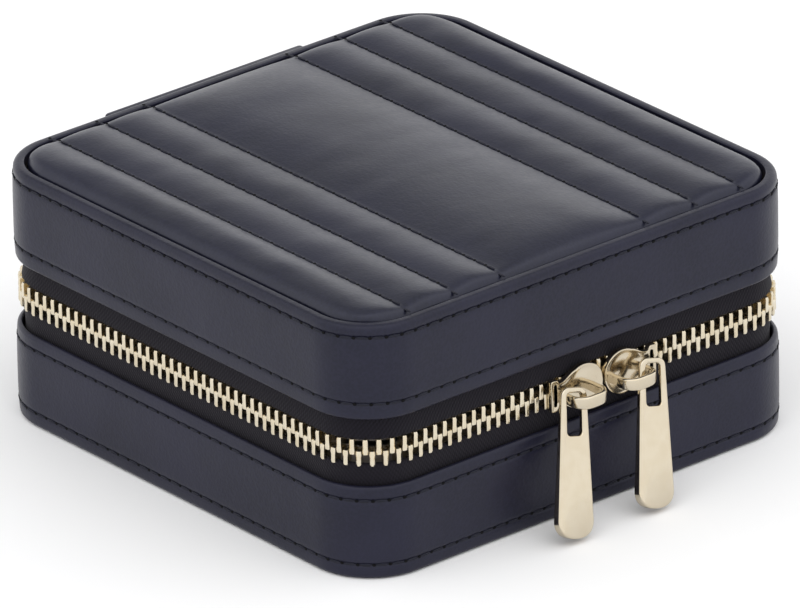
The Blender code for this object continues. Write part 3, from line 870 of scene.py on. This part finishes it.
SEAM_XS = (-0.0456, -0.0327, -0.0197, 0.0201, 0.0338, 0.0466)
PANEL_INSET = 0.0033
PANEL_EDGE_BELOW_RIM = 0.0012
PANEL_SEAM_ABOVE_RIM = 0.0007
PANEL_THICKNESS = 0.0040
CHANNEL_SLOPE = 0.23
PANEL_EDGE_ROLL = 0.0028
CHANNEL_MOST_CROWN = 0.0014
CHANNEL_END_PER_REACH = 0.9
CHANNEL_STEPS = 8
MIDDLE_STEPS = 18
ROW_STEPS = 44
PUFF_SCALE = 20.0
PUFF_CAP = 0.0007
PUFF_SMOOTHING = 3
PUFF_FRAMES = 20
PUFF_CLOTH = {
    "vertex_group_mass": "sewn",
    "quality": 6,
    "mass": 0.3,
    "tension_stiffness": 12,
    "compression_stiffness": 12,
    "shear_stiffness": 8,
    "bending_stiffness": 0.8,
    "use_pressure": True,
    "uniform_pressure_force": 0.5,
    "shrink_min": -0.004,
}
END_ROWS = (0.0, 0.0008, 0.0018, 0.0030, 0.0046, 0.0064, 0.0084, 0.0104)
SAME_PLACE = 1e-9
SEAM_MATCH = 1e-4
SEAM_LIFT = 0.00014
SEAM_END_LIFT = 0.00030
SEAM_END_ROWS = 4
SEAM_FROM_ROW = 1

quilted_leather = leather(
    "quilted_leather", (0.0055, 0.0062, 0.0145), (0.0090, 0.0098, 0.0220), 0.29, 0.000014, shine=0.42
)


def steps_between(marks, counts):
    """Values from the first mark to the last, with each span cut into its own count."""
    values = [marks[0]]
    for low, high, count in zip(marks, marks[1:], counts):
        values += [low + (high - low) * (i + 1) / count for i in range(count)]
    return values


def rounded_corner(x, y, half, radius):
    """Moves a point of a square grid into a plan with rounded corners."""
    core = half - radius
    if abs(x) <= core or abs(y) <= core:
        return x, y
    u, v = (abs(x) - core) / radius, (abs(y) - core) / radius
    a, b = u * math.sqrt(1 - v * v / 2), v * math.sqrt(1 - u * u / 2)
    return math.copysign(core + radius * a, x), math.copysign(core + radius * b, y)


def quilted_panel():
    """The sewn surface before it is puffed: points, faces, the sewn points and the grid's size."""
    half, radius = half_x - PANEL_INSET, CORNER_RADIUS - PANEL_INSET
    marks = (-half, *SEAM_XS, half)
    counts = (CHANNEL_STEPS,) * 3 + (MIDDLE_STEPS,) + (CHANNEL_STEPS,) * 3
    xs = steps_between(marks, counts)
    core = half - radius
    ends = [*END_ROWS, radius]
    ys = [step - half for step in ends] + steps_between((-core, core), (ROW_STEPS,))[1:]
    ys += [half - step for step in ends[-2::-1]]
    edge_z, seam_z = rim_z - PANEL_EDGE_BELOW_RIM, rim_z + PANEL_SEAM_ABOVE_RIM
    vertices, pinned = [], []
    for y in ys:
        for x in xs:
            span = next(i for i in range(len(marks) - 1) if x <= marks[i + 1] + SAME_PLACE)
            left, right = marks[span], marks[span + 1]
            centre, reach = (left + right) / 2, (right - left) / 2
            crown = min(CHANNEL_SLOPE * reach / 2, CHANNEL_MOST_CROWN)
            across = 1 - ((x - centre) / reach) ** 2
            from_end = (half - abs(y)) / (CHANNEL_END_PER_REACH * reach)
            end = 1 - (1 - min(1.0, from_end)) ** 2
            edge = min(half - abs(x), half - abs(y))
            inside = 1 - (1 - min(1.0, edge / PANEL_EDGE_ROLL)) ** 3
            z = edge_z + (seam_z - edge_z) * inside + crown * across * end
            vertices.append(Vector((*rounded_corner(x, y, half, radius), z)))
            if edge < SAME_PLACE or across < SAME_PLACE:
                pinned.append(len(vertices) - 1)
    wide = len(xs)
    faces = [
        (j * wide + i, j * wide + i + 1, (j + 1) * wide + i + 1, (j + 1) * wide + i)
        for j in range(len(ys) - 1)
        for i in range(wide - 1)
    ]
    return vertices, faces, pinned, wide, len(ys)


def puff(vertices, faces, pinned):
    """The padded surface: pressure lifts it between the points that are sewn down.

    The cloth's rise is capped and evened out, and only the rise is taken."""
    mesh = bpy.data.meshes.new("padding")
    mesh.from_pydata([v * PUFF_SCALE for v in vertices], [], faces)
    pad = bpy.data.objects.new("padding", mesh)
    bpy.context.scene.collection.objects.link(pad)
    held = pad.vertex_groups.new(name="sewn")
    held.add(pinned, 1.0, "REPLACE")
    cloth = pad.modifiers.new("Cloth", "CLOTH")
    for setting, value in PUFF_CLOTH.items():
        setattr(cloth.settings, setting, value)
    cloth.settings.effector_weights.gravity = 0
    cloth.point_cache.frame_start, cloth.point_cache.frame_end = 1, PUFF_FRAMES
    scene = bpy.context.scene
    for step in range(1, PUFF_FRAMES + 1):
        scene.frame_set(step)
    graph = bpy.context.evaluated_depsgraph_get()
    moved = pad.evaluated_get(graph).data
    rises = [
        max(-PUFF_CAP, min(PUFF_CAP, vertex.co.z / PUFF_SCALE - start.z))
        for start, vertex in zip(vertices, moved.vertices)
    ]
    near = [set() for _ in vertices]
    for face in faces:
        for a, b in zip(face, face[1:] + face[:1]):
            near[a].add(b)
            near[b].add(a)
    sewn = set(pinned)
    for _ in range(PUFF_SMOOTHING):
        rises = [
            0.0 if i in sewn else (rises[i] + sum(rises[k] for k in near[i])) / (1 + len(near[i]))
            for i in range(len(rises))
        ]
    result = [start + Vector((0, 0, rise)) for start, rise in zip(vertices, rises)]
    bpy.data.objects.remove(pad)
    bpy.data.meshes.remove(mesh)
    scene.frame_set(1)
    return result


def panel_piece():
    """The quilted panel with its sides and flat underside, and its surface for the seams."""
    vertices, faces, pinned, wide, tall = quilted_panel()
    vertices = puff(vertices, faces, pinned)
    rim = list(range(wide))
    rim += [j * wide + wide - 1 for j in range(1, tall)]
    rim += [(tall - 1) * wide + i for i in range(wide - 2, -1, -1)]
    rim += [j * wide for j in range(tall - 2, 0, -1)]
    bottom = rim_z - PANEL_THICKNESS
    bm = bmesh.new()
    made = [bm.verts.new(v) for v in vertices]
    bm.verts.index_update()
    for face in faces:
        bm.faces.new([made[i] for i in face])
    sharp = bm.edges.layers.float.new("crease_edge")
    sewn = set(pinned)
    for edge in bm.edges:
        if edge.verts[0].index in sewn and edge.verts[1].index in sewn:
            edge[sharp] = 1.0
    skirt = [bm.verts.new((vertices[i].x, vertices[i].y, bottom)) for i in rim]
    count = len(rim)
    for k in range(count):
        n = (k + 1) % count
        bm.faces.new((made[rim[k]], skirt[k], skirt[n], made[rim[n]]))
    bm.faces.new(skirt[::-1])
    bmesh.ops.recalc_face_normals(bm, faces=bm.faces)
    piece = add_piece("quilted_top", mesh_of(bm, "quilted_top"), quilted_leather)
    return piece, vertices, wide, tall


quilt, surface, wide, tall = panel_piece()
finer = quilt.modifiers.new("Finer", "SUBSURF")
finer.levels = finer.render_levels = 1
fasten(quilt, "lid", "quilted_leather", "lid_quilted_panel")


def seam_paths():
    """Paths along the sewn rows of the panel's surface, facing up."""
    paths = []
    middle = wide * (tall // 2)
    for column in range(wide):
        if min(abs(surface[middle + column].x - x) for x in SEAM_XS) >= SEAM_MATCH:
            continue
        path = []
        for row in range(SEAM_FROM_ROW, tall - SEAM_FROM_ROW):
            near_end = min(row, tall - 1 - row) < SEAM_END_ROWS
            lift = SEAM_END_LIFT if near_end else SEAM_LIFT
            point = surface[row * wide + column] + Vector((0, 0, lift))
            path.append((point, Vector((0, 0, 1)), Vector((0, 1, 0))))
        paths.append((path, False))
    return paths


sew("quilt", seam_paths(), "lid", "quilted_leather")

# Lid lining and mirror
# The lid is lined like the tray. A mirror with rounded corners lies under it in a border of
# navy leather, sewn round once.

BORDER_ROUND = 0.0009
BORDER_RADIUS = 0.0143
BORDER_FROM_GLASS = 0.0003

low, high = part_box("lid_lining")
lining = tray("lid_lining_cloth", "lid_lining", high.z, low.z)
fasten(lining, "lid", "suede_lining", "lid_lining")


def mirror_finish():
    finish = Finish("mirror_glass", Metallic=1.0, Coat_Weight=1.0, Coat_Roughness=0.02)
    haze = finish.cloud(0.06, 2.0)
    finish.wear(Base_Color=finish.mix(haze, (0.84, 0.87, 0.87), (0.88, 0.90, 0.90)))
    finish.wear(Roughness=0.015 + 0.015 * haze)
    return finish.material


coat_node("mirror", mirror_finish())


def mirror_border():
    low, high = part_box("mirror_border")
    width = high.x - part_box("mirror")[1].x - BORDER_FROM_GLASS
    places = plan(high.x, high.y, BORDER_RADIUS)
    face = low.z
    section = [(0.0, high.z), (0.0, face + BORDER_ROUND)]
    r = BORDER_ROUND
    section += [(r * (1 - c), face + r * (1 - s)) for s, c in quarter()]
    middle = width / 2
    for offset in GROOVE_OFFSETS[::2]:
        distance = offset * SEAM_GROOVE_WIDTH
        section.append((middle + distance, face + groove(distance)))
    section += [(width - r * (1 - s), face + r * (1 - c)) for s, c in quarter()]
    section.append((width, high.z))
    rings = [[at(place, inset, z) for place in places] for inset, z in section]
    border = loft("mirror_frame", rings, navy_leather, loop=True)
    path = []
    for place in places:
        facing = Vector((0, 0, -1))
        along = facing.cross(Vector((*place[1], 0)))
        path.append((at(place, middle, face + seam_inset), facing, along))
    return border, path


border, path = mirror_border()
fasten(border, "lid", "navy_leather", "mirror_border")
sew("mirror_frame", [(path, True)], "lid")

# Hinge strip
# One strip of the same leather, sewn to the back of both halves, runs from one to the other
# as a single fixed piece.

STRIP_EDGE_ROUND = 0.0006
STRIP_FOLD_LOW = 0.0040
STRIP_SWELL = 0.0004
STRIP_SEAM = 0.0026
SWELL_REACH = 0.0035
STRIP_LEVELS = 80
STRIP_ACROSS = 10
STRIP_SEAM_SINK = 0.00005
STRIP_SEAM_STEP = 0.001
STRIP_SEAM_FROM_OPENING = 0.002

strip_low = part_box("base_hinge_strip")[0]
strip_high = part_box("lid_hinge_strip")[1]
hinge = next(j for j in frame["joints"] if j["name"] == "lid_hinge")
fold_z = hinge["pos_m"][2]


def swell(z):
    return STRIP_SWELL * math.exp(-(((z - fold_z) / SWELL_REACH) ** 2))


def hinge_piece():
    half, edge = strip_high.x, STRIP_EDGE_ROUND
    length = strip_high.z - strip_low.z
    heights = [strip_low.z + edge * (1 - c) for s, c in quarter(4)]
    step = (length - 2 * edge) / STRIP_LEVELS
    heights += [strip_low.z + edge + step * i for i in range(1, STRIP_LEVELS)]
    heights += [strip_high.z - edge * (1 - c) for s, c in quarter(4)][::-1]
    rings = []
    for z in heights:
        reach = min(z - strip_low.z, strip_high.z - z, edge) / edge
        pull = edge * (1 - math.sqrt(max(0.0, 1 - (1 - reach) ** 2)))
        x, inner, outer = half - pull, strip_low.y + swell(z), strip_high.y + swell(z) - pull
        ring = [(-x, inner), (-x, outer - edge)]
        ring += [(-x + edge * (1 - c), outer - edge + edge * s) for s, c in quarter()][1:]
        flat = (2 * x - 2 * edge) / STRIP_ACROSS
        ring += [(-x + edge + flat * i, outer) for i in range(1, STRIP_ACROSS)]
        ring += [(x - edge * (1 - s), outer - edge * (1 - c)) for s, c in quarter()]
        ring += [(x, inner)]
        rings.append([Vector((a, b, z)) for a, b in ring])
    return loft("hinge_leather", rings, navy_leather)


strip = hinge_piece()
fold_z - STRIP_FOLD_LOW / 2
fold_z + STRIP_FOLD_LOW / 2
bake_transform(strip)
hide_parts("base_hinge_strip", "lid_hinge_strip")


def strip_seam(open_z, closed_z):
    """A path down one side of the strip, across its end and up the other side."""
    x, y = strip_high.x - STRIP_SEAM, strip_high.y - STRIP_SEAM_SINK
    corners = ((-x, open_z), (-x, closed_z), (x, closed_z), (x, open_z))
    path = []
    for (x_a, z_a), (x_b, z_b) in zip(corners, corners[1:]):
        a, b = Vector((x_a, 0, z_a)), Vector((x_b, 0, z_b))
        along = (b - a).normalized()
        count = max(1, round((b - a).length / STRIP_SEAM_STEP))
        for i in range(count):
            spot = a.lerp(b, i / count)
            point = Vector((spot.x, y + swell(spot.z), spot.z))
            path.append((point, Vector((0, 1, 0)), along))
    return path, False


for half, open_z, closed_z in (
    ("base", base_high.z - STRIP_SEAM_FROM_OPENING, strip_low.z + STRIP_SEAM),
    ("lid", lid_low.z + STRIP_SEAM_FROM_OPENING, strip_high.z - STRIP_SEAM),
):
    sew(half + "_strip", [strip_seam(open_z, closed_z)], half)

# Sliders
# Two cast and gold-plated sliders meet head to head at the front. Each has a pear-shaped face
# with a raised rim, a plate behind the teeth, and a post that parts the rows.

PLATE_THICKNESS = 0.0010
PLATE_LOBE_RADIUS = 0.0051
PLATE_LOBE_CENTRE = 0.0050
PLATE_TAIL_HALF = 0.0027
PLATE_WAIST_AT = 0.0100
FLANGE_HALF = 0.0036
FLANGE_FROM = 0.0124
RIM_WIDTH = 0.00055
RIM_HEIGHT = 0.00018
LOBE_STEPS = 14
LOBE_TURN = 118
WAIST_STEPS = 9
SLIDER_EDGE = 0.0003

gold_fittings = gilt("gold_fittings", (0.615, 0.545, 0.425), (0.595, 0.52, 0.395), 0.10)


def plate_outline(length):
    """(distance from the mouth, height) round the slider's face."""
    upper = []
    lobe, centre = PLATE_LOBE_RADIUS, PLATE_LOBE_CENTRE
    for i in range(LOBE_STEPS + 1):
        angle = math.radians(180 - LOBE_TURN * i / LOBE_STEPS)
        upper.append((centre + lobe * math.cos(angle), lobe * math.sin(angle)))
    start_x, start_z = upper[-1]
    for i in range(1, WAIST_STEPS + 1):
        share = i / WAIST_STEPS
        ease = share * share * (3 - 2 * share)
        z = start_z + (PLATE_TAIL_HALF - start_z) * (0.35 * share + 0.65 * ease)
        upper.append((start_x + (PLATE_WAIST_AT + 0.0012 - start_x) * share, z))
    upper += [(FLANGE_FROM - 0.0004, PLATE_TAIL_HALF), (FLANGE_FROM, FLANGE_HALF - 0.0002)]
    upper += [(FLANGE_FROM + SLIDER_EDGE, FLANGE_HALF), (length - SLIDER_EDGE, FLANGE_HALF)]
    upper += [(length, FLANGE_HALF - SLIDER_EDGE), (length, 0.0009)]
    return upper + [(x, -z) for x, z in upper[::-1]][:-1]


def shrink(outline, amount):
    """The outline moved in along its own corners."""
    count, moved = len(outline), []
    for i in range(count):
        before, here, after = (Vector(outline[k % count]) for k in (i - 1, i, i + 1))
        a, b = (here - before).normalized(), (after - here).normalized()
        inward = Vector((a.y + b.y, -a.x - b.x))
        moved.append(tuple(here + inward.normalized() * amount))
    return moved


def slider_piece(name, node, side):
    low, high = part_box(node)
    mouth = low.x if side > 0 else high.x
    length, z0 = high.x - low.x, (low.z + high.z) / 2
    outline = plate_outline(length)
    front = low.y

    def ring(amount, y):
        return [Vector((mouth + side * x, y, z0 + z)) for x, z in shrink(outline, amount)]

    back, crest = front + PLATE_THICKNESS, front - RIM_HEIGHT + 0.0001
    layers = (
        (0.00035, back + 0.0003),
        (0.00005, back + 0.00025),
        (0.0, back - 0.0001),
        (0.0, front + 0.0001),
        (0.0001, front - 0.00008),
        (0.00025, crest),
        (RIM_WIDTH - 0.0001, crest),
        (RIM_WIDTH + 0.0001, front),
        (RIM_WIDTH + 0.0006, front + 0.00008),
        (0.0017, front + 0.00002),
    )
    face = loft(name, [ring(amount, y) for amount, y in layers], gold_fittings)
    rear = high.y
    blocks = (
        (mouth + side * 0.0003, mouth + side * (length - 0.0006), 0.0034, rear - 0.0008, rear),
        (mouth + side * 0.0014, mouth + side * 0.0054, 0.00035, back - 0.0002, rear - 0.0004),
    )
    bm = bmesh.new()
    bm.from_mesh(face.data)
    for x_a, x_b, half_z, y_a, y_b in blocks:
        made = bmesh.ops.create_cube(bm, size=1.0)["verts"]
        bmesh.ops.scale(bm, verts=made, vec=(abs(x_b - x_a), y_b - y_a, 2 * half_z))
        middle = ((x_a + x_b) / 2, (y_a + y_b) / 2, z0)
        bmesh.ops.translate(bm, verts=made, vec=middle)
        edges = {edge for vertex in made for edge in vertex.link_edges}
        soften(bm, list(edges), min(SLIDER_EDGE, half_z / 2), 2)
    bmesh.ops.recalc_face_normals(bm, faces=bm.faces)
    bm.to_mesh(face.data)
    bm.free()
    face.data.shade_smooth()
    face.data.set_sharp_from_angle(angle=CREASE_ANGLE)
    return face


for hand, side in (("left", -1), ("right", 1)):
    body = hand + "_slider"
    fasten(slider_piece(hand + "_slider_face", body, side), body, "gold_fittings", body)

# Slider straps
# A broad strap bent from the same plated metal arches over each slider's face, soldered at
# both feet. The pull hangs on its outer leg.

STRAP_THICKNESS = 0.0011
STRAP_FOOT_SHARE = 0.80
STRAP_BEND = 0.0030
STRAP_EDGE_ROUND = 0.00042
STRAP_SOLDERED = 0.0006
BEND_STEPS = 8


def strap_piece(name, node):
    low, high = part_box(node)
    z0, half_z = (low.z + high.z) / 2, (high.z - low.z) / 2
    half_t = STRAP_THICKNESS / 2
    x_a, x_b = low.x + half_t, high.x - half_t
    foot, crown = high.y + STRAP_SOLDERED, low.y + half_t
    bend = min(STRAP_BEND, 0.46 * (x_b - x_a))
    line = [(x_a, foot), (x_a, (foot + crown + bend) / 2)]
    line += [(x_a + bend * (1 - c), crown + bend * (1 - s)) for s, c in quarter(BEND_STEPS)]
    line += [(x_a + bend + (x_b - x_a - 2 * bend) * i / 6, crown) for i in range(1, 6)]
    line += [(x_b - bend * (1 - s), crown + bend * (1 - c)) for s, c in quarter(BEND_STEPS)]
    line += [(x_b, (foot + crown + bend) / 2), (x_b, foot)]
    total = len(line) - 1
    rings = []
    for i, (x, y) in enumerate(line):
        before, after = line[max(0, i - 1)], line[min(total, i + 1)]
        run = Vector((after[0] - before[0], after[1] - before[1])).normalized()
        out = Vector((run.y, -run.x))
        share = math.sin(math.pi * i / total)
        high_z = half_z * (STRAP_FOOT_SHARE + (1 - STRAP_FOOT_SHARE) * share)
        ring, r = [], STRAP_EDGE_ROUND
        for sign_t, sign_z, turn in ((1, 1, 0), (-1, 1, 90), (-1, -1, 180), (1, -1, 270)):
            for k in range(4):
                angle = math.radians(turn + 90 * k / 3)
                t = sign_t * (half_t - r) + r * math.cos(angle)
                z = sign_z * (high_z - r) + r * math.sin(angle)
                ring.append(Vector((x + out.x * t, y + out.y * t, z0 + z)))
        rings.append(ring)
    return loft(name, rings, gold_fittings)


for hand in ("left", "right"):
    node = hand + "_slider_bridge"
    fasten(strap_piece(hand + "_strap", node), hand + "_slider", "gold_fittings", node)

# Pulls
# Cast tabs, plated and polished: a slim eye at the top, widening and thickening to a full
# round end. They hang by their windows and lean out and a little to the left.

PULL_LENGTH = 0.0318
PULL_HEAD = 0.0031
PULL_TOP_HALF = 0.0034
PULL_END_HALF = 0.0047
PULL_TOP_THICKNESS = 0.0010
PULL_END_THICKNESS = 0.0022
PULL_END_DEPTH = 0.0038
PULL_WINDOW_HALF = 0.0020
PULL_WINDOW_TOP = 0.00195
PULL_WINDOW_LENGTH = 0.0090
PULL_EDGE_ROUND = 0.00036
PULL_SIDE_LEANS = {"left": math.radians(14.5), "right": math.radians(13.5)}
PULL_TOP_CORNER = 0.0019
PULL_WINDOW_CORNER = 0.0009
ARC_STEPS = 8
END_STEPS = 24
SIDE_STEPS = 4


def corner_arc(x, z, radius, start):
    """A quarter turn anticlockwise about a centre, from start degrees."""
    angles = [math.radians(start + 90 * i / ARC_STEPS) for i in range(ARC_STEPS + 1)]
    return [(x + radius * math.cos(a), z + radius * math.sin(a)) for a in angles]


def between(start, end, steps=SIDE_STEPS):
    """Points that cut a straight side into equal steps, without its ends."""
    (x_a, z_a), (x_b, z_b) = start, end
    shares = [i / steps for i in range(1, steps)]
    return [(x_a + (x_b - x_a) * t, z_a + (z_b - z_a) * t) for t in shares]


def pull_outline(top, end):
    r, half = PULL_TOP_CORNER, PULL_TOP_HALF
    head = corner_arc(half - r, top - r, r, 0) + corner_arc(-half + r, top - r, r, 90)
    foot = []
    for i in range(END_STEPS + 1):
        c, s = math.cos(math.pi * (1 + i / END_STEPS)), math.sin(math.pi * i / END_STEPS)
        across = math.copysign(abs(c) ** 0.85, c) * PULL_END_HALF
        foot.append((across, end + PULL_END_DEPTH * (1 - s**0.9)))
    return head + between(head[-1], foot[0]) + foot + between(foot[-1], head[0])


def pull_window():
    """As many points as the outline, in the same order."""
    w, high, low = PULL_WINDOW_HALF, PULL_WINDOW_TOP, PULL_WINDOW_TOP - PULL_WINDOW_LENGTH
    r = PULL_WINDOW_CORNER
    head = corner_arc(w - r, high - r, r, 0) + corner_arc(-w + r, high - r, r, 90)
    left, right = corner_arc(-w + r, low + r, r, 180), corner_arc(w - r, low + r, r, 270)
    foot = left + between((-w + r, low), (w - r, low), END_STEPS - 2 * ARC_STEPS) + right
    return head + between(head[-1], foot[0]) + foot + between(foot[-1], head[0])


def pull_piece(name, hand):
    top, end = PULL_HEAD, PULL_HEAD - PULL_LENGTH
    outline, window = pull_outline(top, end), pull_window()
    r = PULL_EDGE_ROUND
    edge = [(r * (1 - c), r * (1 - s)) for s, c in quarter(4)]
    rings = [(outline, -inset, -1, drop) for inset, drop in edge]
    rings += [(window, inset, -1, drop) for inset, drop in edge[::-1]]
    rings += [(window, inset, 1, drop) for inset, drop in edge]
    rings += [(outline, -inset, 1, drop) for inset, drop in edge[::-1]]
    bm = bmesh.new()
    made = []
    for points, inset, side, drop in rings:
        ring = []
        for k, (x, z) in enumerate(points):
            before, after = points[k - 1], points[(k + 1) % len(points)]
            out = Vector((after[1] - before[1], before[0] - after[0])).normalized()
            x, z = x + out.x * inset, z + out.y * inset
            share = (top - z) / PULL_LENGTH
            thick = PULL_TOP_THICKNESS + (PULL_END_THICKNESS - PULL_TOP_THICKNESS) * share
            ring.append(bm.verts.new((x, side * (thick / 2 - drop), z)))
        made.append(ring)
    for i, ring in enumerate(made):
        after = made[(i + 1) % len(made)]
        flat = i % len(edge) == len(edge) - 1
        for k in range(len(ring)):
            n = (k + 1) % len(ring)
            bm.faces.new((ring[k], ring[n], after[n], after[k])).smooth = not flat
    bmesh.ops.recalc_face_normals(bm, faces=bm.faces)
    joint = next(j for j in frame["joints"] if j["name"] == hand + "_pull_swing")
    lean = math.asin(abs(joint["axis"][2]))
    turn = Matrix.Rotation(-lean, 4, "X") @ Matrix.Rotation(PULL_SIDE_LEANS[hand], 4, "Y")
    bm.transform(Matrix.Translation(Vector(joint["pos_m"])) @ turn)
    return add_piece(name, mesh_of(bm, name), gold_fittings)


for hand in ("left", "right"):
    node = hand + "_pull"
    fasten(pull_piece(hand + "_tab", hand), node, "gold_fittings", node)

# Studio
# A plain white floor that runs back without an edge, a white room with a darker patch high
# behind the case, a broad soft light overhead and a long camera lens.

FLOOR_HALF = 4.0
FLOOR_DROP = 0.0001
LAMP_PLACE = Vector((-0.1, -0.1, 1.5))
LAMP_TARGET = Vector((0, 0, 0.03))
LAMP_SIZE = 2.6
LAMP_POWER = 10.0
ROOM_LIGHT = 1.3
FLAG_LIGHT = 0.34
FLAG_TOWARD = Vector((0.25, 0.43, 0.87))
FLAG_EDGE = 0.72
FLAG_MIDDLE = 0.96
CAMERA_AZIMUTH = math.radians(-39.824)
CAMERA_ELEVATION = math.radians(24.828)
CAMERA_ROLL = math.radians(-1.0)
CAMERA_DISTANCE = 3.2492
CAMERA_TARGET = Vector((0.000471, -0.00057, 0.025892))
SENSOR_WIDTH = 36.0
FOCAL_WIDTHS = 19.084


def floor_piece():
    bm = bmesh.new()
    bmesh.ops.create_grid(bm, x_segments=8, y_segments=8, size=FLOOR_HALF)
    bmesh.ops.translate(bm, verts=bm.verts, vec=(0, 0, -FLOOR_DROP))
    mesh = mesh_of(bm, "floor")
    finish = Finish("floor_paper", Specular_IOR_Level=0.1)
    tooth_of_paper = finish.cloud(0.02)
    white = finish.mix(tooth_of_paper, (0.90, 0.90, 0.905), (0.915, 0.915, 0.92))
    finish.wear(Base_Color=white)
    finish.wear(Roughness=0.8 + 0.1 * tooth_of_paper)
    return add_piece("floor", mesh, finish.material)


floor_piece()


lamp = bpy.data.lights.new("overhead_softbox", "AREA")
lamp.shape, lamp.size, lamp.energy = "SQUARE", LAMP_SIZE, LAMP_POWER
holder = bpy.data.objects.new("overhead_softbox", lamp)
holder.location = LAMP_PLACE
holder.rotation_euler = (LAMP_TARGET - LAMP_PLACE).to_track_quat("-Z", "Y").to_euler()
bpy.context.scene.collection.objects.link(holder)

world = bpy.data.worlds.new("white_room")
world.use_nodes = True
air = world.node_tree
sky = air.nodes.new("ShaderNodeTexCoord")
toward = air.nodes.new("ShaderNodeVectorMath")
toward.operation = "DOT_PRODUCT"
toward.inputs[1].default_value = FLAG_TOWARD.normalized()
fade = air.nodes.new("ShaderNodeMapRange")
fade.interpolation_type = "SMOOTHSTEP"
for socket, value in ((1, FLAG_EDGE), (2, FLAG_MIDDLE), (3, ROOM_LIGHT), (4, FLAG_LIGHT)):
    fade.inputs[socket].default_value = value
air.links.new(sky.outputs["Generated"], toward.inputs[0])
air.links.new(toward.outputs["Value"], fade.inputs[0])
air.links.new(fade.outputs[0], air.nodes["Background"].inputs["Strength"])
air.nodes["Background"].inputs["Color"].default_value = (1, 1, 1, 1)
bpy.context.scene.world = world
bpy.context.scene.view_settings.view_transform = "Standard"

lens = bpy.data.cameras.new("camera")
lens.sensor_width = SENSOR_WIDTH
lens.lens = SENSOR_WIDTH * FOCAL_WIDTHS
lens.clip_start, lens.clip_end = 0.1, 50.0
camera = bpy.data.objects.new("camera", lens)
a, e = CAMERA_AZIMUTH, CAMERA_ELEVATION
behind = Vector((math.sin(a) * math.cos(e), -math.cos(a) * math.cos(e), math.sin(e)))
right = Vector((0, 0, 1)).cross(behind).normalized()
upward = behind.cross(right)
c, s = math.cos(CAMERA_ROLL), math.sin(CAMERA_ROLL)
right, upward = c * right + s * upward, c * upward - s * right
camera.matrix_world = Matrix.Translation(CAMERA_TARGET + behind * CAMERA_DISTANCE) @ Matrix(
    (right, upward, behind)
).transposed().to_4x4()
bpy.context.scene.collection.objects.link(camera)
bpy.context.scene.camera = camera
